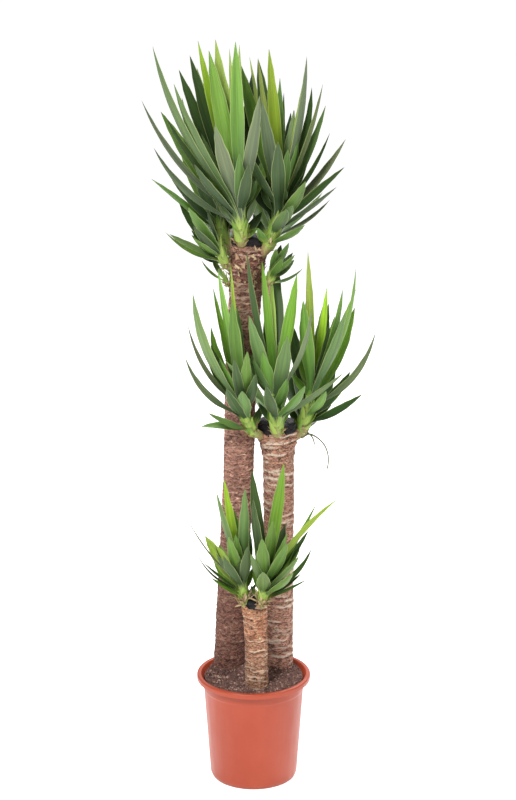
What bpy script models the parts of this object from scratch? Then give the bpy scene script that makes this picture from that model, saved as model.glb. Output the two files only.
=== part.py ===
"""Potted yucca: three rooted canes with leafy shoots, standing in a filled nursery pot.

Metres, Z up, the middle of the pot's flat base at the origin, and the side seen in the photo facing -Y.
"""
import math
import random

import bmesh
import bpy
from mathutils import Vector
from mathutils.bvhtree import BVHTree

MM = 0.001
GAP = 0.0003
UP = Vector((0.0, 0.0, 1.0))

# Pot, turned
POT_HEIGHT = 0.230
RIM_RADIUS = 0.120
RIM_DEPTH = 0.0108
FOOT_RADIUS = 0.0922
FLOOR = 0.0028
POT_SIDES = 32
DRAIN_HOLES = 6
DRAIN_HOLE_RADIUS = 0.005
DRAIN_HOLE_CIRCLE = 0.060

# Canes: places of the centre line, and the radius there, from the foot in the soil to the sawn top
SOIL_LEVEL = 0.2285
SOIL_GAP = 0.0004
TALL_LINE = [
    (-0.0505, 0.0420, 0.125, 0.0250),
    (-0.0522, 0.0438, 0.212, 0.0300),
    (-0.0527, 0.0440, 0.228, 0.0330),
    (-0.0440, 0.0452, 0.414, 0.0318),
    (-0.0320, 0.0470, 0.641, 0.0315),
    (-0.0250, 0.0485, 0.907, 0.0318),
    (-0.0155, 0.0500, 1.047, 0.0335),
    (-0.0120, 0.0500, 1.100, 0.0355),
    (-0.0100, 0.0500, 1.144, 0.0335),
]
MEDIUM_LINE = [
    (0.0520, 0.0405, 0.125, 0.0245),
    (0.0528, 0.0420, 0.212, 0.0290),
    (0.0528, 0.0420, 0.228, 0.0315),
    (0.0528, 0.0420, 0.500, 0.0312),
    (0.0520, 0.0420, 0.690, 0.0325),
    (0.0495, 0.0420, 0.728, 0.0375),
    (0.0475, 0.0420, 0.754, 0.0400),
]
SHORT_LINE = [
    (0.0080, -0.0640, 0.135, 0.0190),
    (0.0073, -0.0658, 0.212, 0.0220),
    (0.0072, -0.0660, 0.228, 0.0240),
    (0.0055, -0.0665, 0.330, 0.0236),
    (0.0030, -0.0670, 0.395, 0.0250),
    (0.0025, -0.0670, 0.413, 0.0255),
]
CANE_SIDES = 12
SCAR_RELIEF = 0.0004

# Wax caps: height, how far the sawn end reaches up into them, and their shell
WAX_SHELL = 0.0018
WAX_SIDES = 12
SAWN_STEP = 0.0034
WAX_REACH = {"tall": 0.016, "medium": 0.018, "short": 0.012}

# The eye that the leaves were measured from, and how far it looks down
EYE = Vector((0.0093, -4.1, 2.0))
EYE_PITCH = math.radians(15.94)
EYE_UP = Vector((0.0, math.sin(EYE_PITCH), math.cos(EYE_PITCH)))

# Blades
BLADE_THICKNESS = 0.0017
BLADE_STATIONS = (0.0, 0.17, 0.38, 0.60, 0.82, 1.0)
SHORT_BLADE_STATIONS = (0.0, 0.20, 0.46, 0.76, 1.0)
SHORT_BLADE = 0.36
BLADE_OUTLINE = (
    (0.0, 0.30), (0.08, 0.42), (0.2, 0.72), (0.36, 0.95),
    (0.5, 1.0), (0.65, 0.92), (0.82, 0.58), (1.0, 0.03),
)
CLEARANCE = 0.0010
FREE_REACH = 72.0
LEAN_TURN = 36.0
STEM_SIDES = 8
SEED = 41

# Shoots: cane, places of the stem from its root in the cane to the neck, stem radius and crown height.
# Leaves: the tip as seen from the eye (millimetres across and up from the neck), how far it comes
# nearer than the neck (millimetres), width of the blade (millimetres), sag as a share of the length,
# and turn about its own length (degrees). Where no turn is given, a leaf that leans sideways turns
# its face to the seen side by its lean.
SHOOTS = {
    "tall_front": {
        "cane": "tall",
        "stem": [
            (-0.0150, 0.0400, 1.129), (-0.0200, 0.0300, 1.141),
            (-0.0255, 0.0160, 1.160), (-0.0267, 0.0020, 1.1935),
        ],
        "radius": 0.0135, "crown": 0.060, "far": 8,
        "leaves": [
            (-196, 246, 20, 30, 0.08), (-174, 354, 70, 34, 0.07), (-158, 224, -120, 38, 0.03),
            (-132, 280, 85, 34, 0.05), (-122, 308, -80, 38, 0.02), (-100, 336, -100, 38, 0.02),
            (-84, 366, -60, 28, 0.02), (-86, 312, -120, 22, 0.02), (-62, 346, -55, 42, 0.01),
            (-49, 368, -95, 34, 0.01), (-52, 308, -150, 34, 0.02), (-9, 364, -60, 30, 0.01),
            (-21, 350, -105, 15, 0.01), (-1, 358, -115, 17, 0.01), (40, 258, 105, 28, 0.03),
            (-50, 198, 90, 34, 0.03), (-172, 152, 10, 26, 0.10), (-92, 120, 60, 28, 0.05),
            (60, 150, -90, 30, 0.04), (18, 120, 80, 26, 0.05), (24, 300, -130, 32, 0.02),
        ],
    },
    "tall_right": {
        "cane": "tall",
        "stem": [
            (0.0030, 0.0410, 1.113), (0.0150, 0.0370, 1.124),
            (0.0300, 0.0325, 1.143), (0.0453, 0.0300, 1.184),
        ],
        "radius": 0.0135, "crown": 0.062, "far": 7,
        "leaves": [
            (-74, 332, -80, 38, 0.02), (-53, 340, -130, 14, 0.02), (-36, 336, -75, 38, 0.02),
            (-36, 338, -25, 22, 0.02), (-14, 322, -150, 14, 0.02), (-14, 356, -45, 28, 0.01),
            (8, 298, -125, 20, 0.02), (16, 268, -140, 14, 0.02), (30, 228, -110, 26, 0.02),
            (37, 232, -60, 24, 0.02), (54, 288, -20, 26, 0.03), (62, 340, 10, 26, 0.04),
            (72, 278, -30, 30, 0.07), (94, 284, 25, 26, 0.04), (100, 242, -40, 26, 0.04),
            (108, 186, 10, 28, 0.06), (140, 174, -15, 28, 0.05), (138, 118, 60, 38, 0.01, 35),
            (100, 120, -60, 24, 0.04), (122, 78, 45, 22, 0.02), (108, 52, 0, 22, 0.08, 15),
            (58, 2, 62, 26, 0.04), (34, 42, 58, 30, 0.02), (22, 34, 78, 30, 0.03),
            (-28, 252, 62, 32, 0.03), (-60, 160, 40, 28, 0.05),
            (-44, 150, -110, 34, 0.03), (-24, 96, -100, 30, 0.04), (-66, 120, -60, 32, 0.04),
            (60, 90, 90, 30, 0.04), (4, 170, 95, 30, 0.03), (-62, 250, -120, 34, 0.02),
        ],
    },
    "tall_left": {
        "cane": "tall",
        "stem": [
            (-0.0180, 0.0640, 1.104), (-0.0330, 0.0750, 1.110),
            (-0.0510, 0.0850, 1.124), (-0.0621, 0.0900, 1.1514),
        ],
        "radius": 0.0125, "crown": 0.055, "far": 2,
        "leaves": [
            (-146, 116, 45, 34, 0.0, -25), (-104, 114, -15, 28, 0.02, -30), (-56, 122, 30, 36, 0.03),
            (-36, 142, -60, 36, 0.04), (-30, 270, -100, 38, 0.02), (30, 240, -150, 36, 0.03),
            (-90, 200, -110, 36, 0.04), (10, 150, -215, 34, 0.05), (-60, 100, -190, 32, 0.06),
            (60, 110, -180, 34, 0.06), (90, 190, -110, 34, 0.04), (-70, 40, -110, 28, 0.08),
            (52, 168, -60, 34, 0.04), (74, 120, -70, 30, 0.05),
            (20, 50, -150, 28, 0.08),
        ],
    },
    "tall_lower_left": {
        "cane": "tall",
        "stem": [
            (-0.0270, 0.0430, 1.084), (-0.0400, 0.0400, 1.091),
            (-0.0540, 0.0345, 1.103), (-0.0633, 0.0300, 1.1225),
        ],
        "radius": 0.0100, "crown": 0.036, "far": 1,
        "leaves": [
            (-86, 106, -30, 32, 0.05), (-68, 98, 50, 36, 0.03), (-114, 48, 30, 24, 0.10, -20),
            (-106, 44, -30, 24, 0.03), (-30, 90, 10, 24, 0.03), (-60, 20, -60, 22, 0.06),
        ],
    },
    "tall_lower_right": {
        "cane": "tall",
        "stem": [
            (-0.0020, 0.0420, 1.040), (0.0130, 0.0390, 1.050),
            (0.0250, 0.0350, 1.062), (0.0340, 0.0320, 1.0760),
        ],
        "radius": 0.0085, "crown": 0.030, "far": 1,
        "leaves": [
            (38, 72, 30, 28, 0.02), (46, 52, -30, 24, 0.03), (50, 48, 35, 22, 0.03),
            (66, 20, 8, 18, 0.12, 20), (22, 68, -40, 24, 0.03), (24, 40, 60, 24, 0.04),
            (12, 60, 45, 22, 0.03),
        ],
    },
    "tall_bud": {
        "cane": "tall",
        "stem": [
            (-0.0290, 0.0400, 1.050), (-0.0430, 0.0370, 1.056),
            (-0.0500, 0.0350, 1.062), (-0.0550, 0.0330, 1.0700),
        ],
        "radius": 0.0050, "crown": 0.012, "far": 0,
        "leaves": [
            (-50, 42, 5, 11, 0.10), (-30, 50, -12, 13, 0.04), (-16, 26, 24, 10, 0.05),
        ],
    },
    "medium_left": {
        "cane": "medium",
        "stem": [
            (0.0300, 0.0290, 0.741), (0.0150, 0.0150, 0.749),
            (-0.0025, -0.0045, 0.762), (-0.0152, -0.0200, 0.7969),
        ],
        "radius": 0.0115, "crown": 0.050, "far": 2,
        "leaves": [
            (-108, 253, 70, 34, 0.09), (-118, 188, 10, 24, 0.10), (-124, 124, 15, 26, 0.13),
            (-67, 265, -15, 24, 0.02), (-57, 300, -8, 30, 0.01, 50), (-31, 310, 0, 24, 0.01, 55),
            (-78, 10, 35, 26, 0.05), (-92, -18, 10, 22, -0.06), (-78, 118, -25, 24, 0.05),
            (-53, 182, -10, 18, 0.03), (-29, 240, 35, 34, 0.02), (-40, 60, 80, 26, 0.06),
            (20, 90, 70, 24, 0.06),
        ],
    },
    "medium_front": {
        "cane": "medium",
        "stem": [
            (0.0480, 0.0300, 0.735), (0.0482, 0.0185, 0.745),
            (0.0480, 0.0030, 0.763), (0.0459, -0.0120, 0.8009),
        ],
        "radius": 0.0140, "crown": 0.060, "far": 4,
        "leaves": [
            (-104, 112, 60, 26, 0.02), (-55, 204, 80, 34, 0.03), (-29, 316, -25, 38, 0.01, 25),
            (-10, 294, -60, 16, 0.02), (2, 312, -80, 34, 0.02), (43, 288, -40, 32, 0.02),
            (24, 161, 90, 34, 0.03), (10, 235, -120, 30, 0.03), (0, 30, 28, 22, 0.04),
            (-59, 332, 10, 20, 0.03, 50), (139, 86, 50, 26, 0.03), (73, 216, 45, 22, 0.08),
            (-20, 60, 110, 26, 0.06), (60, 60, 90, 26, 0.06), (-20, 150, -80, 28, 0.04),
        ],
    },
    "medium_right": {
        "cane": "medium",
        "stem": [
            (0.0690, 0.0440, 0.728), (0.0830, 0.0455, 0.736),
            (0.0990, 0.0480, 0.748), (0.1106, 0.0500, 0.7828),
        ],
        "radius": 0.0135, "crown": 0.060, "far": 6,
        "leaves": [
            (2, 338, -30, 28, 0.01, 30), (41, 264, -25, 24, 0.03), (74, 260, 42, 26, 0.05),
            (45, 231, -65, 26, 0.03), (101, 303, 25, 28, 0.08), (101, 260, -75, 22, 0.03),
            (99, 222, -80, 36, 0.06), (80, 216, 55, 30, 0.04), (142, 171, 15, 30, 0.13),
            (115, 43, 30, 28, 0.05), (-8, 237, 50, 32, 0.02), (-35, 196, -90, 32, 0.03),
            (60, 100, -130, 30, 0.06), (10, 130, -170, 32, 0.05), (-50, 110, -140, 30, 0.06),
            (30, 30, -110, 26, 0.08), (90, 90, -70, 26, 0.07), (40, 50, 80, 24, 0.06),
            (42, -112, 12, 3.4, -0.24), (15, -62, 6, 3.0, -0.20),
        ],
    },
    "short_left": {
        "cane": "short",
        "stem": [
            (-0.0065, -0.0685, 0.392), (-0.0135, -0.0745, 0.402),
            (-0.0195, -0.0810, 0.420), (-0.0215, -0.0850, 0.4483),
        ],
        "radius": 0.0085, "crown": 0.035, "far": 2,
        "leaves": [
            (-119, 156, 5, 16, 0.06, 0), (-78, 111, -60, 40, 0.02), (-96, 78, 10, 20, 0.12, 0),
            (-82, 57, 30, 16, 0.03), (-66, 25, 20, 16, 0.02), (-55, 203, 38, 26, 0.02),
            (-39, 228, -35, 26, 0.02), (4, 209, 42, 26, 0.02), (-18, 164, -55, 26, 0.03),
            (-49, 90, -70, 28, 0.05), (-40, 70, 60, 28, 0.05),
            (-30, 110, 60, 30, 0.03), (10, 90, 70, 26, 0.04), (-60, 60, -50, 26, 0.05),
            (14, 120, -60, 28, 0.04),
        ],
    },
    "short_right": {
        "cane": "short",
        "stem": [
            (0.0080, -0.0700, 0.396), (0.0125, -0.0790, 0.405),
            (0.0175, -0.0890, 0.421), (0.0215, -0.1000, 0.4498),
        ],
        "radius": 0.0095, "crown": 0.040, "far": 3,
        "leaves": [
            (-25, 250, -55, 30, 0.02), (-22, 190, -20, 36, 0.03, 30), (41, 264, -45, 36, 0.02),
            (18, 147, 40, 32, 0.03), (151, 190, 30, 32, -0.05), (108, 182, -50, 14, 0.03),
            (92, 127, -20, 22, 0.03), (98, 90, 0, 20, 0.12), (74, 88, -40, 16, 0.05),
            (72, 74, 50, 28, 0.05), (78, 39, -20, 12, 0.04), (88, 25, 20, 12, 0.02),
            (-2, 41, 70, 34, 0.04), (-27, 78, 45, 22, 0.03),
            (48, 100, 70, 32, 0.03), (44, 140, -80, 32, 0.03), (60, 40, 80, 26, 0.05),
            (-4, 110, 75, 32, 0.03),
        ],
    },
}

COLOURS = {
    "pot": (0.56, 0.115, 0.045, 0.38),
    "soil": (0.040, 0.022, 0.014, 0.95),
    "cane": (0.165, 0.080, 0.052, 0.90),
    "wax": (0.012, 0.010, 0.013, 0.45),
    "leaf": (0.085, 0.175, 0.040, 0.42),
}


def material(name, key):
    """A plain material in the colour of one kind of part."""
    red, green, blue, roughness = COLOURS[key]
    made = bpy.data.materials.new(name)
    made.use_nodes = True
    shader = made.node_tree.nodes["Principled BSDF"]
    shader.inputs["Base Color"].default_value = (red, green, blue, 1.0)
    shader.inputs["Roughness"].default_value = roughness
    shader.inputs["Metallic"].default_value = 0.0
    made.diffuse_color = (red, green, blue, 1.0)
    return made


def new_object(name, vertices, faces, collection):
    """An object from points and faces, with its faces turned outwards."""
    mesh = bpy.data.meshes.new(name)
    mesh.from_pydata([tuple(v) for v in vertices], [], faces)
    shell = bmesh.new()
    shell.from_mesh(mesh)
    bmesh.ops.recalc_face_normals(shell, faces=shell.faces)
    shell.to_mesh(mesh)
    shell.free()
    obj = bpy.data.objects.new(name, mesh)
    collection.objects.link(obj)
    return obj


def apply_modifiers(obj):
    """Bake the modifiers of an object into its mesh."""
    graph = bpy.context.evaluated_depsgraph_get()
    baked = bpy.data.meshes.new_from_object(obj.evaluated_get(graph), depsgraph=graph)
    obj.modifiers.clear()
    old = obj.data
    obj.data = baked
    baked.name = obj.name
    bpy.data.meshes.remove(old)


def turned(name, profile, collection, sides):
    """A body turned round the Z axis from a profile of radius and height."""
    mesh = bpy.data.meshes.new(name)
    points = [(radius, 0.0, height) for radius, height in profile]
    mesh.from_pydata(points, [(i, i + 1) for i in range(len(points) - 1)], [])
    obj = bpy.data.objects.new(name, mesh)
    collection.objects.link(obj)
    screw = obj.modifiers.new("turn", "SCREW")
    screw.axis = "Z"
    screw.angle = math.tau
    screw.steps = sides
    screw.render_steps = sides
    screw.use_merge_vertices = True
    screw.merge_threshold = 0.00005
    apply_modifiers(obj)
    shell = bmesh.new()
    shell.from_mesh(obj.data)
    bmesh.ops.dissolve_degenerate(shell, dist=1e-7, edges=shell.edges)
    bmesh.ops.recalc_face_normals(shell, faces=shell.faces)
    shell.to_mesh(obj.data)
    shell.free()
    return obj


def cut(obj, cutters, solver="EXACT"):
    """Take the cutters out of an object."""
    for cutter in cutters:
        boolean = obj.modifiers.new("cut", "BOOLEAN")
        boolean.operation = "DIFFERENCE"
        boolean.solver = solver
        boolean.object = cutter
    apply_modifiers(obj)


def tube(name, spine, radii, sides, collection, spread=0.0):
    """A closed round tube along a list of places; spread makes it that much bigger all round."""
    places = [Vector(p) for p in spine]
    first = (places[1] - places[0]).normalized()
    last = (places[-1] - places[-2]).normalized()
    places[0] = places[0] - first * spread
    places[-1] = places[-1] + last * spread
    vertices, faces = [], []
    for index, place in enumerate(places):
        before = places[max(index - 1, 0)]
        after = places[min(index + 1, len(places) - 1)]
        along = (after - before).normalized()
        side = along.cross(Vector((0.0, -1.0, 0.0))).normalized()
        front = side.cross(along)
        for step in range(sides):
            angle = math.tau * step / sides
            reach = radii[index] + spread
            vertices.append(place + side * (math.cos(angle) * reach) + front * (math.sin(angle) * reach))
    for index in range(len(places) - 1):
        for step in range(sides):
            a = index * sides + step
            b = index * sides + (step + 1) % sides
            faces.append((a, b, b + sides))
            faces.append((a, b + sides, a + sides))
    faces.append(tuple(reversed(range(sides))))
    faces.append(tuple((len(places) - 1) * sides + step for step in range(sides)))
    return new_object(name, vertices, faces, collection)


def blend(line, height):
    """The centre and radius of a cane at a height."""
    for low, high in zip(line, line[1:]):
        if height <= high[2]:
            share = (height - low[2]) / (high[2] - low[2])
            share = max(0.0, share)
            return [low[k] + (high[k] - low[k]) * share for k in (0, 1, 3)]
    return [line[-1][0], line[-1][1], line[-1][3]]


def cane_stations(line, reach, pitch, rng):
    """Heights of a cane's rings of points with what each adds to the radius, from foot to sawn end."""
    stations = [(line[0][2], -0.004, 0.0), (line[0][2] + 0.006, 0.0, 0.0), (line[1][2], 0.0, 0.0)]
    height = SOIL_LEVEL - 0.004
    top = line[-1][2]
    ridge = True
    while height < top - pitch * 0.5:
        stations.append((height, SCAR_RELIEF if ridge else -SCAR_RELIEF, 1.0))
        ridge = not ridge
        height += pitch * rng.uniform(0.75, 1.25)
    stations.append((top, 0.0, 0.6))
    stations.append((top + 0.0004, -SAWN_STEP, 0.0))
    stations.append((top + reach - 0.0025, -SAWN_STEP, 0.0))
    stations.append((top + reach, -SAWN_STEP - 0.0025, 0.0))
    return stations


def cane(name, line, reach, pitch, knobs, collection):
    """A cane with leaf-scar relief, its plain foot in the soil and its sawn end in the wax."""
    rng = random.Random(SEED + len(line))
    vertices, faces = [], []
    stations = cane_stations(line, reach, pitch, rng)
    for height, extra, rough in stations:
        x, y, radius = blend(line, height)
        swell = max(0.0, (height - (line[-1][2] - 0.09)) / 0.09) if rough else 0.0
        phase = rng.uniform(0.0, math.tau)
        for step in range(CANE_SIDES):
            angle = math.tau * step / CANE_SIDES
            noise = rng.uniform(-1.0, 1.0) * rough * (0.0004 + knobs * swell)
            tilt = math.sin(angle + phase) * 0.0016 * (1.0 if rough == 1.0 else 0.0)
            reach_out = radius + extra + noise
            vertices.append((x + math.cos(angle) * reach_out, y + math.sin(angle) * reach_out, height + tilt))
    for index in range(len(stations) - 1):
        for step in range(CANE_SIDES):
            a = index * CANE_SIDES + step
            b = index * CANE_SIDES + (step + 1) % CANE_SIDES
            faces.append((a, b, b + CANE_SIDES))
            faces.append((a, b + CANE_SIDES, a + CANE_SIDES))
    faces.append(tuple(reversed(range(CANE_SIDES))))
    faces.append(tuple((len(stations) - 1) * CANE_SIDES + step for step in range(CANE_SIDES)))
    return new_object(name, vertices, faces, collection)


def wax_cap(name, line, reach, collection):
    """A wax coat over the sawn end of a cane: a cup turned upside down."""
    inner = (line[-1][3] - SAWN_STEP + GAP) / math.cos(math.pi / WAX_SIDES)
    outer = inner + WAX_SHELL
    low, high = 0.0010, reach + GAP
    profile = [
        (0.0, high), (inner - 0.0026, high), (inner, high - 0.0026), (inner, low), (outer, low),
        (outer + 0.0003, high - 0.003), (outer - 0.0030, high + 0.0022), (0.0, high + 0.0042),
    ]
    cap = turned(name, list(reversed(profile)), collection, WAX_SIDES)
    for vertex in cap.data.vertices:
        vertex.co += Vector((line[-1][0], line[-1][1], line[-1][2]))
    return cap


def outline(share):
    """Width of a blade at a share of its length, against its full width."""
    for (low, wide), (high, next_wide) in zip(BLADE_OUTLINE, BLADE_OUTLINE[1:]):
        if share <= high:
            t = (share - low) / (high - low)
            t = t * t * (3.0 - 2.0 * t)
            return wide + (next_wide - wide) * t
    return BLADE_OUTLINE[-1][1]


def seen_place(neck, across, rise, nearer):
    """The place whose sight line was read across and up from the neck, brought nearer than the neck."""
    plate = neck + Vector((across * MM, 0.0, 0.0)) + EYE_UP * (rise * MM)
    sight = plate - EYE
    return plate + sight * ((neck.y - nearer * MM - plate.y) / sight.y)


def blade_shape(base, tip, width, sag, turn, stations, swell=0.0, start=0.0):
    """Points and faces of a blade: a slim channelled leaf along a sagging spine."""
    chord = tip - base
    length = chord.length
    flat = Vector((chord.x, chord.y, 0.0))
    if flat.length < 0.004:
        flat = Vector((0.0, -1.0, 0.0))
    across = UP.cross(flat.normalized())
    lift = across.cross(chord.normalized())
    if lift.z < 0.0:
        lift = -lift
    pull = lift * (-sag * length / 0.75)
    first = base + chord * 0.33 + pull
    second = base + chord * 0.67 + pull
    vertices, faces = [], []
    used = [share for share in stations if share >= start]
    for share in used:
        rest = 1.0 - share
        place = base * rest ** 3 + first * (3 * rest * rest * share)
        place += second * (3 * rest * share * share) + tip * share ** 3
        along = (first - base) * (rest * rest) + (second - first) * (2 * rest * share)
        along = (along + (tip - second) * (share * share)).normalized()
        if share >= 1.0:
            vertices.append(place + along * swell)
            continue
        ease = min(1.0, share / 0.4)
        angle = math.radians(turn) * ease * ease * (3.0 - 2.0 * ease)
        over = along.cross(across).normalized()
        if over.dot(lift) < 0.0:
            over = -over
        side = across * math.cos(angle) + over * math.sin(angle)
        over = over * math.cos(angle) - across * math.sin(angle)
        half = width * 0.5 * outline(share) + swell
        fold = (0.34 - 0.24 * min(1.0, share * 2.0)) * half
        thick = BLADE_THICKNESS * (1.0 - 0.45 * share) * 0.5 + swell
        vertices += [
            place - side * half + over * fold, place + over * thick,
            place + side * half + over * fold, place - over * thick,
        ]
    rows = len(used) - 1
    for row in range(rows - 1):
        a = row * 4
        b = a + 4
        faces += [
            (a, a + 1, b + 1), (a, b + 1, b), (a + 1, a + 2, b + 2), (a + 1, b + 2, b + 1),
            (a + 2, a + 3, b + 2), (a + 3, b + 3, b + 2), (a + 3, a, b), (a + 3, b, b + 3),
        ]
    a = (rows - 1) * 4
    end = a + 4
    faces += [(a, a + 1, end), (a + 1, a + 2, end), (a + 2, a + 3, end), (a + 3, a, end)]
    faces += [(1, 0, 3), (2, 1, 3)]
    return vertices, faces


def grow_direction(shoot):
    """Which way the crown of a shoot grows on from its neck."""
    before, neck = (Vector(p) for p in shoot["stem"][-2:])
    return ((neck - before).normalized() + UP).normalized()


def crown_place(shoot, chord):
    """Where a leaf leaves the stem: the steeper the leaf, the higher up the crown."""
    before, neck = (Vector(p) for p in shoot["stem"][-2:])
    steep = math.degrees(math.atan2(chord.z, math.hypot(chord.x, chord.y)))
    share = min(1.0, max(0.0, (steep - 5.0) / 75.0)) ** 1.3
    foot = -min(shoot["radius"] * 3.3, (neck - before).length)
    height = foot + (shoot["crown"] - foot) * share
    place = neck + grow_direction(shoot) * height
    if height < 0.0:
        place = neck + (neck - before).normalized() * height
    outward = Vector((chord.x, chord.y, 0.0))
    outward = outward.normalized() if outward.length > 0.001 else Vector((0.0, 0.0, 0.0))
    return place + outward * (shoot["radius"] * 0.28 * (1.0 - 0.6 * share))


def stem_line(shoot):
    """Places and radii of a stem from its root to the tip of its crown."""
    places = [Vector(p) for p in shoot["stem"]]
    grow = grow_direction(shoot)
    radius = shoot["radius"]
    line = places + [places[-1] + grow * shoot["crown"] * 0.6, places[-1] + grow * (shoot["crown"] + 0.010)]
    return line, [radius * 0.62, radius * 0.76, radius * 0.92, radius * 0.94, radius * 0.62, radius * 0.22]


def reading(row):
    """One leaf reading, with no turn where none was read."""
    across, rise, nearer, width, sag = row[:5]
    return across, rise, nearer, width, sag, (row[5] if len(row) > 5 else None)


def lean_turn(base, tip):
    """How far a leaf turns to show more of the face that is seen, by its lean to one side, in degrees."""
    chord = (tip - base).normalized()
    across = UP.cross(Vector((chord.x, chord.y, 0.0)).normalized())
    over = across.cross(chord)
    if over.z < 0.0:
        over = -over
    sight = EYE - base.lerp(tip, 0.6)
    sign = -1.0 if over.dot(sight) * across.dot(sight) > 0.0 else 1.0
    return sign * LEAN_TURN * abs(chord.x)


def far_rows(shoot, rng):
    """Leaves of the far side: each stands behind one that is seen, a little shorter."""
    seen = [reading(row) for row in shoot["leaves"] if row[1] > 60 and row[3] > 20]
    rows = []
    for index in range(shoot["far"]):
        across, rise, nearer, width, sag, _ = seen[(index * 5) % len(seen)]
        share = rng.uniform(0.70, 0.88)
        rows.append((
            across * share * rng.uniform(0.7, 1.0), rise * share, -abs(nearer) - rng.uniform(50.0, 130.0),
            max(26.0, width * 0.95), sag + rng.uniform(0.01, 0.04), rng.uniform(-15.0, 15.0),
        ))
    return rows


def tries():
    """Small changes to a reading, the nearest first."""
    changes = [(0.0, 0.0, 0.0)]
    for nearer in range(8, 129, 8):
        changes += [(0.0, 0.0, float(nearer)), (0.0, 0.0, -float(nearer))]
    for across, rise in ((6, 0), (-6, 0), (0, -8), (9, -6), (-9, -6), (14, 0), (-14, 0)):
        for nearer in range(0, 121, 12):
            changes += [(float(across), float(rise), sign * float(nearer)) for sign in (1, -1)]
    return sorted(changes, key=lambda c: abs(c[2]) + 3.0 * (abs(c[0]) + abs(c[1])))


def as_tree(shapes):
    """A search tree over several shapes."""
    vertices, faces = [], []
    for points, polygons in shapes:
        offset = len(vertices)
        vertices += points
        faces += [tuple(offset + i for i in polygon) for polygon in polygons]
    return BVHTree.FromPolygons(vertices, faces) if faces else None


def object_shape(obj):
    """Points and faces of an object."""
    return [v.co.copy() for v in obj.data.vertices], [tuple(p.vertices) for p in obj.data.polygons]


class Thicket:
    """Places the blades of every shoot one after another, each clear of the other shoots."""

    def __init__(self, solids, stems):
        self.solids = as_tree([object_shape(obj) for obj in solids])
        self.stems = {name: object_shape(obj) for name, obj in stems.items()}
        self.blades = {name: [] for name in stems}
        self.tips = {name: [] for name in stems}
        self.changes = tries()

    def clear(self, name, shape, free_part):
        """Whether a blade misses the canes, the wax and the other shoots; and its own shoot's blades."""
        tree = BVHTree.FromPolygons(*shape)
        if tree.overlap(self.solids) or any(tree.overlap(other) for other in self.others):
            return False, False
        own = as_tree(self.tips[name])
        return True, not (own and BVHTree.FromPolygons(*free_part).overlap(own))

    def add(self, name, row):
        """Bend one leaf clear and keep it."""
        shoot = SHOOTS[name]
        neck = Vector(shoot["stem"][-1])
        self.others = [
            as_tree([self.stems[other]] + self.blades[other]) for other in SHOOTS if other != name
        ]
        across, rise, nearer, width, sag, given = row
        spare = None
        for shrink in (1.0, 0.86, 0.72):
            for shift, lift, closer in self.changes:
                seen = ((across + shift) * shrink, (rise + lift) * shrink, (nearer + closer) * shrink)
                tip = seen_place(neck, *seen)
                base = crown_place(shoot, tip - neck)
                turn = lean_turn(base, tip) if given is None else given
                stations = BLADE_STATIONS if (tip - base).length > SHORT_BLADE else SHORT_BLADE_STATIONS
                fat = blade_shape(base, tip, width * MM, sag, turn, stations, CLEARANCE)
                free_part = blade_shape(base, tip, width * MM, sag, turn, stations, 0.0002, stations[1])
                clear, apart = self.clear(name, fat, free_part)
                if clear and apart:
                    return self.keep(name, base, tip, width, sag, turn, stations)
                if clear and spare is None:
                    spare = (base, tip, width, sag, turn, stations)
                if spare and abs(closer) + 3.0 * (abs(shift) + abs(lift)) > FREE_REACH:
                    break
            if spare:
                break
        return self.keep(name, *spare) if spare else False

    def keep(self, name, base, tip, width, sag, turn, stations):
        """Store a blade."""
        self.blades[name].append(blade_shape(base, tip, width * MM, sag, turn, stations))
        self.tips[name].append(blade_shape(base, tip, width * MM, sag, turn, stations, 0.0, stations[1]))
        return True


def join(obj, shapes, collection):
    """Fuse a list of blades into an object by one union."""
    repeats = bpy.data.collections.new("repeats")
    collection.children.link(repeats)
    for index, (points, polygons) in enumerate(shapes):
        new_object(f"repeat_{index:03d}", points, polygons, repeats)
    union = obj.modifiers.new("join", "BOOLEAN")
    union.operation = "UNION"
    union.operand_type = "COLLECTION"
    union.collection = repeats
    union.solver = "MANIFOLD"
    apply_modifiers(obj)
    for piece in list(repeats.objects):
        bpy.data.objects.remove(piece)
    bpy.data.collections.remove(repeats)
    triangulate(obj)


def triangulate(obj):
    """Split every face into triangles and drop loose scraps."""
    shell = bmesh.new()
    shell.from_mesh(obj.data)
    bmesh.ops.remove_doubles(shell, verts=shell.verts, dist=2e-6)
    bmesh.ops.triangulate(shell, faces=shell.faces)
    bmesh.ops.dissolve_degenerate(shell, dist=2e-6, edges=shell.edges)
    shell.to_mesh(obj.data)
    shell.free()


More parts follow.
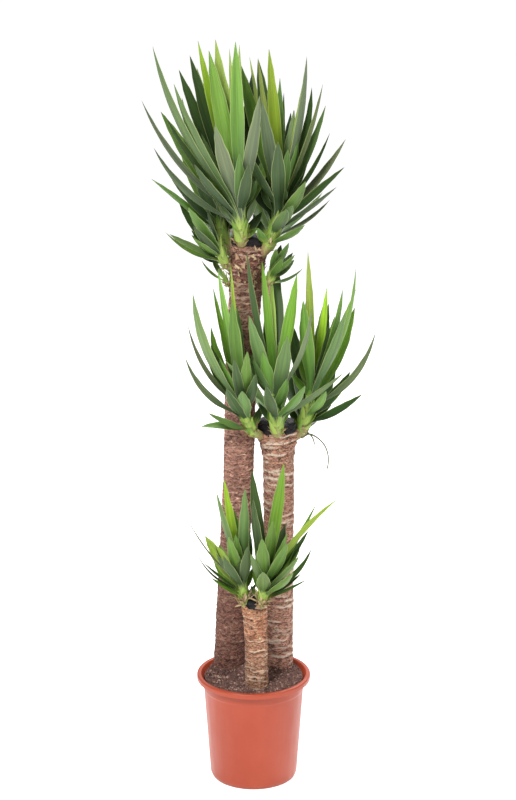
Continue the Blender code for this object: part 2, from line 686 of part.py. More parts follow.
def pot_and_soil(collection):
    """The turned pot with its drain holes, and the soil that fills it."""
    wall = [(0.0880, FLOOR), (0.0898, 0.0050), (0.1030, 0.1980), (0.1042, 0.2165)]
    pot_profile = [(0.0, FLOOR)] + wall + [
        (0.1096, 0.2275), (0.1112, POT_HEIGHT), (0.1184, POT_HEIGHT), (RIM_RADIUS, 0.2278),
        (RIM_RADIUS, POT_HEIGHT - RIM_DEPTH), (0.1182, POT_HEIGHT - RIM_DEPTH),
        (0.1174, 0.2268), (0.1122, 0.2268), (0.1068, 0.2158), (0.1064, 0.2000), (0.1052, 0.1962),
        (FOOT_RADIUS, 0.0080), (0.0885, 0.0), (0.0, 0.0),
    ]
    pot = turned("pot", pot_profile, collection, POT_SIDES)
    guides = bpy.data.collections.new("cutters")
    bpy.context.scene.collection.children.link(guides)
    holes = []
    for index in range(DRAIN_HOLES):
        angle = math.tau * (index + 0.4) / DRAIN_HOLES
        place = (math.cos(angle) * DRAIN_HOLE_CIRCLE, math.sin(angle) * DRAIN_HOLE_CIRCLE)
        holes.append(tube("drain", [(*place, -0.004), (*place, 0.010)], [DRAIN_HOLE_RADIUS] * 2, 8, guides))
    cut(pot, holes)
    soil_profile = [(0.0, FLOOR + GAP), (wall[0][0] - SOIL_GAP, FLOOR + GAP)]
    soil_profile += [(radius - SOIL_GAP, height) for radius, height in wall[1:]]
    soil_profile += [(0.1066, 0.2222), (0.1020, 0.2242), (0.0700, 0.2268), (0.0350, 0.2290), (0.0, 0.2302)]
    soil = turned("soil", list(reversed(soil_profile)), collection, POT_SIDES)
    rng = random.Random(SEED)
    for vertex in soil.data.vertices:
        if vertex.co.z > 0.2245:
            vertex.co.z += rng.uniform(-0.0012, 0.0012)
    triangulate(soil)
    return pot, soil, guides


def remove_all(objects):
    """Take scratch objects out of the file."""
    for obj in objects:
        bpy.data.objects.remove(obj)


def main():
    """Build every part."""
    for obj in list(bpy.data.objects):
        bpy.data.objects.remove(obj)
    plant = bpy.data.collections.new("potted_yucca")
    bpy.context.scene.collection.children.link(plant)
    pot, soil, guides = pot_and_soil(plant)
    lines = {"tall": TALL_LINE, "medium": MEDIUM_LINE, "short": SHORT_LINE}
    relief = {"tall": (0.0360, 0.0022), "medium": (0.0340, 0.0012), "short": (0.0260, 0.0008)}
    canes, caps = {}, {}
    for key, line in lines.items():
        pitch, knobs = relief[key]
        canes[key] = cane(f"cane_{key}", line, WAX_REACH[key], pitch, knobs, plant)
        caps[key] = wax_cap(f"wax_{key}", line, WAX_REACH[key], plant)
    sockets = []
    for key, line in lines.items():
        feet = [p for p in line[:3]] + [(line[2][0], line[2][1], 0.245, line[2][3])]
        radii = [feet[0][3], feet[1][3], feet[2][3] + SCAR_RELIEF + 0.0006, feet[3][3] + SCAR_RELIEF + 0.0006]
        sockets.append(tube(f"socket_{key}", [p[:3] for p in feet], radii, CANE_SIDES, guides, GAP * 4.0))
    cut(soil, sockets)
    stems = {}
    for name, shoot in SHOOTS.items():
        line, radii = stem_line(shoot)
        stems[name] = tube(name, line, radii, STEM_SIDES, plant)
        socket = tube(f"socket_{name}", line, radii, STEM_SIDES, guides, GAP * 1.3)
        cut(canes[shoot["cane"]], [socket])
        cut(caps[shoot["cane"]], [socket])
    for obj in [soil, *canes.values(), *caps.values()]:
        triangulate(obj)
    thicket = Thicket([soil, *canes.values(), *caps.values()], stems)
    rng = random.Random(SEED)
    for name, shoot in SHOOTS.items():
        for row in shoot["leaves"]:
            thicket.add(name, reading(row))
    for name, shoot in SHOOTS.items():
        for row in far_rows(shoot, rng):
            thicket.add(name, row)
    for name in SHOOTS:
        join(stems[name], thicket.blades[name], plant)
        stems[name].data.materials.append(material(f"{name}_leaf", "leaf"))
    for key in lines:
        canes[key].data.materials.append(material(f"cane_{key}_bark", "cane"))
        caps[key].data.materials.append(material(f"wax_{key}_black", "wax"))
    pot.data.materials.append(material("pot_plastic", "pot"))
    soil.data.materials.append(material("soil_earth", "soil"))
    remove_all(list(guides.objects))
    bpy.data.collections.remove(guides)


main()
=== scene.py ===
"""Potted yucca, dressed for its picture.

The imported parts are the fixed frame. Finer pieces stand for the pot, the soil, the canes, the wax and every
shoot, in the same places and forms. Metres, Z up, the side seen in the photo facing -Y.
"""
import itertools
import logging
import math
import random
from dataclasses import dataclass, field
from enum import Enum
from typing import Any

import bmesh
import bpy
import numpy as np
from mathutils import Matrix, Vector
from mathutils.bvhtree import BVHTree


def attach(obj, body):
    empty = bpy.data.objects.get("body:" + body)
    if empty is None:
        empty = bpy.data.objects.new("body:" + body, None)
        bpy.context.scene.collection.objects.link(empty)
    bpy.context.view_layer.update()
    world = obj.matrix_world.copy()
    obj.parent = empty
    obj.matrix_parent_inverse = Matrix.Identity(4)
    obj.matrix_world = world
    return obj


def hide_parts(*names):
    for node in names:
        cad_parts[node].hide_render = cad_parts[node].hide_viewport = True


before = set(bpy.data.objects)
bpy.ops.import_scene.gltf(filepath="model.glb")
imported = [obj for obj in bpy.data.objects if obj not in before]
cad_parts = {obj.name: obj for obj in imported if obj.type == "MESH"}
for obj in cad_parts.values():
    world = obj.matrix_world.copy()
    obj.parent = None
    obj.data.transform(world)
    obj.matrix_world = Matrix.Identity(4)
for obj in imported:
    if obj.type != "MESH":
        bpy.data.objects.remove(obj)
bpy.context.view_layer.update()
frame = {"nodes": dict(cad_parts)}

LOG = logging.getLogger("potted_yucca")
Colour = tuple[float, float, float]
Place = tuple[float, float, float]
Shape = tuple[list[Vector], list[tuple[int, ...]]]
Patch = tuple[np.ndarray, np.ndarray, dict[str, np.ndarray]]
Spot = tuple[np.ndarray, np.ndarray, np.ndarray]

MM = 0.001
UP = Vector((0.0, 0.0, 1.0))
SEED = 41
WHITE = (1.0, 1.0, 1.0)

# The eye that the photo was taken from, and how far it looks down
EYE = Vector((0.0093, -4.1, 2.0))
EYE_PITCH = math.radians(15.94)
EYE_UP = Vector((0.0, math.sin(EYE_PITCH), math.cos(EYE_PITCH)))
LENS_MM = 94.06
SENSOR_MM = 36.0

# Where the soil lies, and how far the sawn canes reach up into their wax
SOIL_LEVEL = 0.2285
SAWN_STEP = 0.0034

# Blades, as in the solids
BLADE_THICKNESS = 0.0017
BLADE_STATIONS = (0.0, 0.17, 0.38, 0.6, 0.82, 1.0)
SHORT_BLADE_STATIONS = (0.0, 0.2, 0.46, 0.76, 1.0)
SHORT_BLADE = 0.36
BLADE_OUTLINE = (
    (0.0, 0.3), (0.08, 0.42), (0.2, 0.72), (0.36, 0.95),
    (0.5, 1.0), (0.65, 0.92), (0.82, 0.58), (1.0, 0.03),
)
CLEARANCE = 0.001
FREE_REACH = 72.0
LEAN_TURN = 36.0
STEM_SIDES = 8
STEM_TAPER = (0.62, 0.76, 0.92, 0.94, 0.62, 0.22)


class Tone(Enum):
    """How green a leaf is, by the letter that the shoot plans use. The deep green is partly painted shade,
    the silver and grey greens partly painted sheen, the lime and light greens partly painted backlight.
    """

    MID = "M"
    BRIGHT = "B"
    LIME = "Y"
    LIGHT = "L"
    DEEP = "D"
    OLIVE = "O"
    GREY_GREEN = "G"
    SILVER = "S"
    DRIED = "T"


# Leaf greens: the deep one is partly painted shade, the silver and grey-green ones partly painted sheen, the
# lime and light ones partly painted backlight
LEAF_COLOURS: dict[Tone, Colour] = {
    Tone.MID: (0.078, 0.188, 0.026),
    Tone.BRIGHT: (0.126, 0.28, 0.045),
    Tone.LIME: (0.196, 0.345, 0.03),
    Tone.LIGHT: (0.215, 0.35, 0.08),
    Tone.DEEP: (0.03, 0.07, 0.019),
    Tone.OLIVE: (0.074, 0.116, 0.024),
    Tone.GREY_GREEN: (0.078, 0.16, 0.05),
    Tone.SILVER: (0.104, 0.158, 0.09),
    Tone.DRIED: (0.048, 0.055, 0.03),
}

# How much redder, greener and bluer the leaves of each cane are
CANE_TINTS = {"tall": (1.14, 0.95, 1.0), "medium": (1.58, 1.34, 1.28), "short": (1.46, 1.21, 0.98)}


@dataclass(frozen=True)
class ShootPlan:
    """Measured facts of one leafy shoot, whose name starts with its cane's.

    A leaf is its tip as seen from the eye, in millimetres across and up from the neck, how far it comes
    nearer than the neck, the width of the blade, its sag as a share of the length, and its turn in degrees.
    """

    name: str
    stem: tuple[Place, ...]
    radius: float
    crown: float
    far: int
    tones: str
    leaves: tuple[tuple[float, ...], ...]

    @property
    def cane(self) -> str:
        """The cane that the shoot grows on."""
        return self.name.split("_")[0]


SHOOTS: tuple[ShootPlan, ...] = (
    ShootPlan(
        "tall_front",
        ((-0.015, 0.04, 1.129), (-0.02, 0.03, 1.141), (-0.0255, 0.016, 1.16), (-0.0267, 0.002, 1.1935)),
        0.0135, 0.06, 8, "SGMGDDYYBLOBLLSSSDMDD",
        (
            (-196, 246, 20, 30, 0.08), (-174, 354, 70, 34, 0.07), (-158, 224, -120, 38, 0.03),
            (-132, 280, 85, 34, 0.05), (-122, 308, -80, 38, 0.02), (-100, 336, -100, 38, 0.02),
            (-84, 366, -60, 28, 0.02), (-86, 312, -120, 22, 0.02), (-62, 346, -55, 42, 0.01),
            (-49, 368, -95, 34, 0.01), (-52, 308, -150, 34, 0.02), (-9, 364, -60, 30, 0.01),
            (-21, 350, -105, 15, 0.01), (-1, 358, -115, 17, 0.01), (40, 258, 105, 28, 0.03),
            (-50, 198, 90, 34, 0.03), (-172, 152, 10, 26, 0.1), (-92, 120, 60, 28, 0.05),
            (60, 150, -90, 30, 0.04), (18, 120, 80, 26, 0.05), (24, 300, -130, 32, 0.02),
        ),
    ),
    ShootPlan(
        "tall_right",
        ((0.003, 0.041, 1.113), (0.015, 0.037, 1.124), (0.03, 0.0325, 1.143), (0.0453, 0.03, 1.184)),
        0.0135, 0.062, 7, "MLDLMYMMDGLSDOGDSDDDSMGGSDDMDMDD",
        (
            (-74, 332, -80, 38, 0.02), (-53, 340, -130, 14, 0.02), (-36, 336, -75, 38, 0.02),
            (-36, 338, -25, 22, 0.02), (-14, 322, -150, 14, 0.02), (-14, 356, -45, 28, 0.01),
            (8, 298, -125, 20, 0.02), (16, 268, -140, 14, 0.02), (30, 228, -110, 26, 0.02),
            (37, 232, -60, 24, 0.02), (54, 288, -20, 26, 0.03), (62, 340, 10, 26, 0.04),
            (72, 278, -30, 30, 0.07), (94, 284, 25, 26, 0.04), (100, 242, -40, 26, 0.04),
            (108, 186, 10, 28, 0.06), (140, 174, -15, 28, 0.05), (138, 118, 60, 38, 0.01, 35),
            (100, 120, -60, 24, 0.04), (122, 78, 45, 22, 0.02), (108, 52, 0, 22, 0.08, 15),
            (58, 2, 62, 26, 0.04), (34, 42, 58, 30, 0.02), (22, 34, 78, 30, 0.03),
            (-28, 252, 62, 32, 0.03), (-60, 160, 40, 28, 0.05),
            (-44, 150, -110, 34, 0.03), (-24, 96, -100, 30, 0.04), (-66, 120, -60, 32, 0.04),
            (60, 90, 90, 30, 0.04), (4, 170, 95, 30, 0.03), (-62, 250, -120, 34, 0.02),
        ),
    ),
    ShootPlan(
        "tall_left",
        ((-0.018, 0.064, 1.104), (-0.033, 0.075, 1.11), (-0.051, 0.085, 1.124), (-0.0621, 0.09, 1.1514)),
        0.0125, 0.055, 2, "MDDDMGMDDMMDDDD",
        (
            (-146, 116, 45, 34, 0.0, -25), (-104, 114, -15, 28, 0.02, -30), (-56, 122, 30, 36, 0.03),
            (-36, 142, -60, 36, 0.04), (-30, 270, -100, 38, 0.02), (30, 240, -150, 36, 0.03),
            (-90, 200, -110, 36, 0.04), (10, 150, -215, 34, 0.05), (-60, 100, -190, 32, 0.06),
            (60, 110, -180, 34, 0.06), (90, 190, -110, 34, 0.04), (-70, 40, -110, 28, 0.08),
            (52, 168, -60, 34, 0.04), (74, 120, -70, 30, 0.05),
            (20, 50, -150, 28, 0.08),
        ),
    ),
    ShootPlan(
        "tall_lower_left",
        ((-0.027, 0.043, 1.084), (-0.04, 0.04, 1.091), (-0.054, 0.0345, 1.103), (-0.0633, 0.03, 1.1225)),
        0.01, 0.036, 1, "DMMGDD",
        (
            (-86, 106, -30, 32, 0.05), (-68, 98, 50, 36, 0.03), (-114, 48, 30, 24, 0.1, -20),
            (-106, 44, -30, 24, 0.03), (-30, 90, 10, 24, 0.03), (-60, 20, -60, 22, 0.06),
        ),
    ),
    ShootPlan(
        "tall_lower_right",
        ((-0.002, 0.042, 1.04), (0.013, 0.039, 1.05), (0.025, 0.035, 1.062), (0.034, 0.032, 1.076)),
        0.0085, 0.03, 1, "MDMGDMM",
        (
            (38, 72, 30, 28, 0.02), (46, 52, -30, 24, 0.03), (50, 48, 35, 22, 0.03),
            (66, 20, 8, 18, 0.12, 20), (22, 68, -40, 24, 0.03), (24, 40, 60, 24, 0.04),
            (12, 60, 45, 22, 0.03),
        ),
    ),
    ShootPlan(
        "tall_bud",
        ((-0.029, 0.04, 1.05), (-0.043, 0.037, 1.056), (-0.05, 0.035, 1.062), (-0.055, 0.033, 1.07)),
        0.005, 0.012, 0, "MGM",
        (
            (-50, 42, 5, 11, 0.1), (-30, 50, -12, 13, 0.04), (-16, 26, 24, 10, 0.05),
        ),
    ),
    ShootPlan(
        "medium_left",
        ((0.03, 0.029, 0.741), (0.015, 0.015, 0.749), (-0.0025, -0.0045, 0.762), (-0.0152, -0.02, 0.7969)),
        0.0115, 0.05, 2, "GSSMBYGGDMMDD",
        (
            (-108, 253, 70, 34, 0.09), (-118, 188, 10, 24, 0.1), (-124, 124, 15, 26, 0.13),
            (-67, 265, -15, 24, 0.02), (-57, 300, -8, 30, 0.01, 50), (-31, 310, 0, 24, 0.01, 55),
            (-78, 10, 35, 26, 0.05), (-92, -18, 10, 22, -0.06), (-78, 118, -25, 24, 0.05),
            (-53, 182, -10, 18, 0.03), (-29, 240, 35, 34, 0.02), (-40, 60, 80, 26, 0.06),
            (20, 90, 70, 24, 0.06),
        ),
    ),
    ShootPlan(
        "medium_front",
        ((0.048, 0.03, 0.735), (0.0482, 0.0185, 0.745), (0.048, 0.003, 0.763), (0.0459, -0.012, 0.8009)),
        0.014, 0.06, 4, "GGBLDBGDSDSSDMD",
        (
            (-104, 112, 60, 26, 0.02), (-55, 204, 80, 34, 0.03), (-29, 316, -25, 38, 0.01, 25),
            (-10, 294, -60, 16, 0.02), (2, 312, -80, 34, 0.02), (43, 288, -40, 32, 0.02),
            (24, 161, 90, 34, 0.03), (10, 235, -120, 30, 0.03), (0, 30, 28, 22, 0.04),
            (-59, 332, 10, 20, 0.03, 50), (139, 86, 50, 26, 0.03), (73, 216, 45, 22, 0.08),
            (-20, 60, 110, 26, 0.06), (60, 60, 90, 26, 0.06), (-20, 150, -80, 28, 0.04),
        ),
    ),
    ShootPlan(
        "medium_right",
        ((0.069, 0.044, 0.728), (0.083, 0.0455, 0.736), (0.099, 0.048, 0.748), (0.1106, 0.05, 0.7828)),
        0.0135, 0.06, 6, "LYMDMMBGSDMDDMDDDMTT",
        (
            (2, 338, -30, 28, 0.01, 30), (41, 264, -25, 24, 0.03), (74, 260, 42, 26, 0.05),
            (45, 231, -65, 26, 0.03), (101, 303, 25, 28, 0.08), (101, 260, -75, 22, 0.03),
            (99, 222, -80, 36, 0.06), (80, 216, 55, 30, 0.04), (142, 171, 15, 30, 0.13),
            (115, 43, 30, 28, 0.05), (-8, 237, 50, 32, 0.02), (-35, 196, -90, 32, 0.03),
            (60, 100, -130, 30, 0.06), (10, 130, -170, 32, 0.05), (-50, 110, -140, 30, 0.06),
            (30, 30, -110, 26, 0.08), (90, 90, -70, 26, 0.07), (40, 50, 80, 24, 0.06),
            (42, -112, 12, 3.4, -0.24), (15, -62, 6, 3.0, -0.2),
        ),
    ),
    ShootPlan(
        "short_left",
        (
            (-0.0065, -0.0685, 0.392), (-0.0135, -0.0745, 0.402), (-0.0195, -0.081, 0.42),
            (-0.0215, -0.085, 0.4483),
        ),
        0.0085, 0.035, 2, "SLDDMGYGMMDMDMD",
        (
            (-119, 156, 5, 16, 0.06, 0), (-78, 111, -60, 40, 0.02), (-96, 78, 10, 20, 0.12, 0),
            (-82, 57, 30, 16, 0.03), (-66, 25, 20, 16, 0.02), (-55, 203, 38, 26, 0.02),
            (-39, 228, -35, 26, 0.02), (4, 209, 42, 26, 0.02), (-18, 164, -55, 26, 0.03),
            (-49, 90, -70, 28, 0.05), (-40, 70, 60, 28, 0.05),
            (-30, 110, 60, 30, 0.03), (10, 90, 70, 26, 0.04), (-60, 60, -50, 26, 0.05),
            (14, 120, -60, 28, 0.04),
        ),
    ),
    ShootPlan(
        "short_right",
        ((0.008, -0.07, 0.396), (0.0125, -0.079, 0.405), (0.0175, -0.089, 0.421), (0.0215, -0.1, 0.4498)),
        0.0095, 0.04, 3, "DDBMLMDDMMDDGGMDMM",
        (
            (-25, 250, -55, 30, 0.02), (-22, 190, -20, 36, 0.03, 30), (41, 264, -45, 36, 0.02),
            (18, 147, 40, 32, 0.03), (151, 190, 30, 32, -0.05), (108, 182, -50, 14, 0.03),
            (92, 127, -20, 22, 0.03), (98, 90, 0, 20, 0.12), (74, 88, -40, 16, 0.05),
            (72, 74, 50, 28, 0.05), (78, 39, -20, 12, 0.04), (88, 25, 20, 12, 0.02),
            (-2, 41, 70, 34, 0.04), (-27, 78, 45, 22, 0.03),
            (48, 100, 70, 32, 0.03), (44, 140, -80, 32, 0.03), (60, 40, 80, 26, 0.05),
            (-4, 110, 75, 32, 0.03),
        ),
    ),
)

# Leaves that the scene adds between those of the solids
INNER_LEAVES = {
    "tall_front": 12, "tall_right": 10, "tall_left": 5, "tall_lower_left": 4, "tall_lower_right": 4,
    "tall_bud": 0,
    "medium_left": 7, "medium_front": 9, "medium_right": 9, "short_left": 6, "short_right": 6,
}

# How much of their measured width the leaves keep, less on the smaller shoots
USUAL_SLIM = 0.94
SLIM_LEAVES = {"short_left": 0.84, "short_right": 0.84, "tall_lower_left": 0.86, "tall_lower_right": 0.76}

# Leaves that reach in between neighbouring shoots
GAP_LEAVES = {
    "tall_front": (
        (44, 24, -60, 22, 0.04), (36, -8, -44, 20, 0.05), (34, 88, -30, 24, 0.03), (22, 140, -48, 26, 0.02),
        (-14, 150, -60, 26, 0.02),
    ),
    "tall_right": (
        (-52, 24, -70, 22, 0.04), (-36, -4, -56, 20, 0.05), (-30, 78, -34, 24, 0.03),
        (-18, 128, -46, 26, 0.02),
    ),
    "tall_left": ((66, 62, -10, 26, 0.03), (30, 110, -20, 26, 0.03), (50, 90, -12, 24, 0.03)),
    "medium_left": ((32, 26, -50, 18, 0.04), (26, 92, -24, 22, 0.03), (14, 130, -36, 24, 0.02)),
    "medium_front": (
        (-36, 26, -50, 18, 0.04), (32, 26, -50, 18, 0.04), (-24, 66, -18, 20, 0.04), (26, 66, -18, 20, 0.04),
        (12, 120, -30, 24, 0.02), (-12, 120, -34, 24, 0.02),
    ),
    "medium_right": ((-39, 26, -50, 18, 0.04), (-30, 84, -24, 22, 0.03), (-16, 130, -36, 24, 0.02)),
    "short_left": (
        (28, 14, -45, 14, 0.04), (22, 48, -40, 16, 0.03), (17, 72, -22, 16, 0.04), (10, 112, -34, 18, 0.02),
        (-34, 108, 12, 13, 0.06), (-58, 96, 4, 11, 0.09),
    ),
    "short_right": (
        (-28, 14, -50, 14, 0.04), (-24, 48, -44, 16, 0.03), (-17, 78, -26, 16, 0.04),
        (-8, 118, -38, 18, 0.02),
        (40, 104, 10, 13, 0.06), (62, 88, 6, 11, 0.09),
    ),
}

# Greens of the leaves that weren't read from the photo, in turn: far ones, those in gaps and inner ones
FAR_TONES, GAP_TONES, INNER_TONES = "MGDB", "DMGM", "DMDGM"

# Bark relief, fine bark relief and the lumps of the swollen top: share, lumps round and height of a lump
BARK_LAYERS = (
    ((0.55, 7, 0.03), (0.45, 17, 0.009)),
    ((0.5, 26, 0.0042), (0.5, 50, 0.0028)),
    ((0.6, 9, 0.014), (0.7, 19, 0.008)),
)


# Shader nodes

class Desk:
    """Places nodes in one node tree and joins them."""

    def __init__(self, tree: bpy.types.NodeTree) -> None:
        """Open a desk.

        Args:
            tree: the node tree to work in.
        """
        self.tree = tree

    def feed(self, node: bpy.types.Node, feeds: dict[Any, Any]) -> None:
        """Give a node's inputs what they need.

        Args:
            node: the node.
            feeds: what each input gets, a value or another node's output.
        """
        for key, value in feeds.items():
            socket = node.inputs[key]
            if isinstance(value, bpy.types.NodeSocket):
                self.tree.links.new(value, socket)
            elif socket.type == "RGBA":
                socket.default_value = (*value[:3], 1.0)
            else:
                socket.default_value = value

    def put(self, kind: str, feeds: dict[Any, Any] | None = None, **settings: Any) -> bpy.types.Node:
        """Place one node.

        Args:
            kind: Blender's name for the node type.
            feeds: what each input gets, a value or another node's output.
            settings: properties of the node.
        Returns:
            The new node.
        """
        node = self.tree.nodes.new(kind)
        for key, value in settings.items():
            setattr(node, key, value)
        self.feed(node, feeds or {})
        return node

    def group(self, tree: bpy.types.NodeTree, feeds: dict[str, Any]) -> Any:
        """Place a shared effect.

        Args:
            tree: the effect's node group.
            feeds: what its inputs get, where not their first values.
        Returns:
            Its outputs.
        """
        return self.put("ShaderNodeGroup", feeds, node_tree=tree).outputs

    def maths(self, operation: str, *values: Any, clamp: bool = False) -> bpy.types.NodeSocket:
        """Join a Math node.

        Args:
            operation: the Math node's operation.
            values: its inputs in order.
            clamp: whether the result is kept between 0 and 1.
        Returns:
            The result's socket.
        """
        feeds = dict(enumerate(values))
        return self.put("ShaderNodeMath", feeds, operation=operation, use_clamp=clamp).outputs[0]

    def share(self, value: Any, part: float) -> bpy.types.NodeSocket:
        """A part of a value."""
        return self.maths("MULTIPLY", value, part)

    def span(self, value: Any, low: float, high: float, start: float = 0.0, end: float = 1.0) -> Any:
        """Stretch a value smoothly from one range to another.

        Args:
            value: socket to read.
            low: where the range starts.
            high: where it ends.
            start: the result at low.
            end: the result at high.
        Returns:
            The result's socket.
        """
        feeds = {"Value": value, "From Min": low, "From Max": high, "To Min": start, "To Max": end}
        return self.put("ShaderNodeMapRange", feeds, interpolation_type="SMOOTHSTEP").outputs["Result"]

    def blend(self, share: Any, first: Any, second: Any, mode: str = "MIX") -> bpy.types.NodeSocket:
        """Mix two colours.

        Args:
            share: how much of the second there is.
            first: colour or socket.
            second: colour or socket.
            mode: how they mix.
        Returns:
            The mixed colour's socket.
        """
        feeds = {0: share, 6: first, 7: second}
        return self.put("ShaderNodeMix", feeds, data_type="RGBA", blend_type=mode).outputs[2]

    def times(self, colour: Any, factors: Colour) -> bpy.types.NodeSocket:
        """A colour with its red, green and blue multiplied."""
        return self.blend(1.0, colour, factors, "MULTIPLY")

    def fact(self, name: str, output: str = "Fac") -> bpy.types.NodeSocket:
        """What the mesh says about itself at a point.

        Args:
            name: the attribute's name.
            output: Fac for a number, Color for a colour.
        Returns:
            The attribute's socket.
        """
        return self.put("ShaderNodeAttribute", attribute_name=name).outputs[output]

    def spot(self, stretch: Any = (1.0, 1.0, 1.0)) -> bpy.types.NodeSocket:
        """The point's place on the object, stretched along its axes.

        Args:
            stretch: factors along X, Y and Z, or a socket with them.
        Returns:
            The place's socket.
        """
        place = self.put("ShaderNodeTexCoord").outputs["Object"]
        return self.put("ShaderNodeVectorMath", {0: place, 1: stretch}, operation="MULTIPLY").outputs[0]

    def noise(self, place: Any, scale: Any, detail: float = 3.0, rough: float = 0.55) -> bpy.types.NodeSocket:
        """Cloudy noise.

        Args:
            place: where it is read.
            scale: how fine it is.
            detail: how many layers.
            rough: how strong the fine layers are.
        Returns:
            The noise's socket.
        """
        feeds = {"Vector": place, "Scale": scale, "Detail": detail, "Roughness": rough}
        return self.put("ShaderNodeTexNoise", feeds).outputs["Fac"]

    def bumped(self, height: Any, strength: float, distance: float) -> bpy.types.NodeSocket:
        """A normal from a height.

        Args:
            height: socket with the height.
            strength: share of the effect.
            distance: metres that a height of 1 stands for.
        Returns:
            The normal's socket.
        """
        feeds = {"Height": height, "Strength": strength, "Distance": distance}
        return self.put("ShaderNodeBump", feeds).outputs["Normal"]


class Surface(Desk):
    """The desk of one material."""

    def __init__(self, name: str) -> None:
        """Start a material.

        Args:
            name: its name.
        """
        self.material = bpy.data.materials.new(name)
        self.material.use_nodes = True
        super().__init__(self.material.node_tree)
        self.shader = self.tree.nodes["Principled BSDF"]

    def finish(self, feeds: dict[str, Any]) -> bpy.types.Material:
        """Feed the material's shader.

        Args:
            feeds: what each of its inputs gets.
        Returns:
            The finished material.
        """
        self.feed(self.shader, feeds)
        return self.material


class Effects:
    """The effects that several finishes share, each a node group built once."""

    def __init__(self) -> None:
        """Build every group."""
        self.drift = self._drift()
        self.relief = self._relief()
        self.fibres = self._fibres()
        self.blade_marks = self._blade_marks()

    @staticmethod
    def _start(
        name: str, inputs: dict[str, Any], outputs: tuple[str, ...]
    ) -> tuple[Desk, Any, bpy.types.Node]:
        """Open a group.

        Args:
            name: the group's name.
            inputs: each input's first value: a number, three for a vector or four for a colour.
            outputs: the outputs' names, Color for a colour and any other for a number.
        Returns:
            The group's desk, the outputs of its input node and its output node.
        """
        tree = bpy.data.node_groups.new(name, "ShaderNodeTree")
        for label, value in inputs.items():
            kind = "Float" if isinstance(value, float) else {3: "Vector", 4: "Color"}[len(value)]
            socket = tree.interface.new_socket(label, in_out="INPUT", socket_type=f"NodeSocket{kind}")
            socket.default_value = value
        for label in outputs:
            kind = "Color" if label == "Color" else "Float"
            tree.interface.new_socket(label, in_out="OUTPUT", socket_type=f"NodeSocket{kind}")
        desk = Desk(tree)
        return desk, desk.put("NodeGroupInput").outputs, desk.put("NodeGroupOutput")

    def _drift(self) -> bpy.types.NodeTree:
        """A colour that wanders between two others in soft patches.

        Returns:
            The node group.
        """
        grey = (0.5, 0.5, 0.5, 1.0)
        desk, given, result = self._start(
            "colour_drift",
            {"First": grey, "Second": grey, "Scale": 20.0, "Low": 0.35, "High": 0.65},
            ("Color", "Mask"),
        )
        cloud = desk.noise(desk.spot(), given["Scale"], 4.0, 0.6)
        feeds = {"Value": cloud, "From Min": given["Low"], "From Max": given["High"]}
        mask = desk.put("ShaderNodeMapRange", feeds).outputs["Result"]
        desk.feed(result, {"Color": desk.blend(mask, given["First"], given["Second"]), "Mask": mask})
        return desk.tree

    def _relief(self) -> bpy.types.NodeTree:
        """Fine unevenness in two sizes, as a height.

        Returns:
            The node group.
        """
        desk, given, result = self._start("fine_relief", {"Scale": 200.0, "Fine share": 0.4}, ("Height",))
        coarse = desk.noise(desk.spot(), given["Scale"], 2.0)
        finer = desk.noise(desk.spot(), desk.share(given["Scale"], 4.3), 2.0)
        desk.feed(result, {"Height": desk.maths("MULTIPLY_ADD", finer, given["Fine share"], coarse)})
        return desk.tree

    def _fibres(self) -> bpy.types.NodeTree:
        """Scales or fibres of bark and stems, by their stretch, and the pale flecks between them.

        Returns:
            The node group.
        """
        desk, given, result = self._start(
            "scales_and_fibres",
            {"Stretch": (1.0, 1.0, 2.4), "Scale": 120.0, "Fleck scale": 150.0, "Fleck share": 0.56},
            ("Fibre", "Fleck"),
        )
        place = desk.spot(given["Stretch"])
        scales = desk.noise(place, given["Scale"], 5.0, 0.66)
        grains = desk.noise(place, given["Fleck scale"], 4.0, 0.7)
        above = desk.maths("SUBTRACT", grains, given["Fleck share"])
        fleck = desk.maths("MULTIPLY", above, 11.0, clamp=True)
        desk.feed(result, {"Fibre": desk.span(scales, 0.37, 0.63), "Fleck": fleck})
        return desk.tree

    def _blade_marks(self) -> bpy.types.NodeTree:
        """Where a leaf has its veins, pale margins, pale root and dry tip.

        Returns:
            The node group.
        """
        desk, given, result = self._start(
            "blade_marks",
            {"Veins": 20.0, "Margin": 0.91, "Root end": 0.03},
            ("Vein", "Streak", "Midrib", "Margin", "Root", "Tip"),
        )
        across, rise = desk.fact("leaf_across"), desk.fact("leaf_rise")
        seed = desk.share(desk.fact("leaf_seed"), 40.0)
        fine, wide = (
            desk.put(
                "ShaderNodeCombineXYZ",
                {0: desk.maths("MULTIPLY", across, often), 1: desk.share(rise, along), 2: seed},
            ).outputs[0]
            for often, along in ((given["Veins"], 7.0), (2.6, 6.0))
        )
        streak = desk.span(desk.noise(wide, 1.0, 3.0, 0.6), 0.3, 0.7)
        edge = desk.maths("ABSOLUTE", across)
        beyond = desk.maths("SUBTRACT", edge, given["Margin"])
        uneven = desk.maths("MULTIPLY_ADD", streak, 0.012, rise)
        reached = desk.maths("DIVIDE", uneven, given["Root end"], clamp=True)
        desk.feed(result, {
            "Vein": desk.span(desk.noise(fine, 1.0, 2.0, 0.6), 0.3, 0.7),
            "Streak": streak,
            "Midrib": desk.span(edge, 0.03, 0.16, 1.0, 0.0),
            "Margin": desk.maths("MULTIPLY", beyond, 22.0, clamp=True),
            "Root": desk.maths("SUBTRACT", 1.0, desk.maths("POWER", reached, 1.6)),
            "Tip": desk.span(desk.fact("leaf_share"), 0.978, 0.995),
        })
        return desk.tree


# Finishes

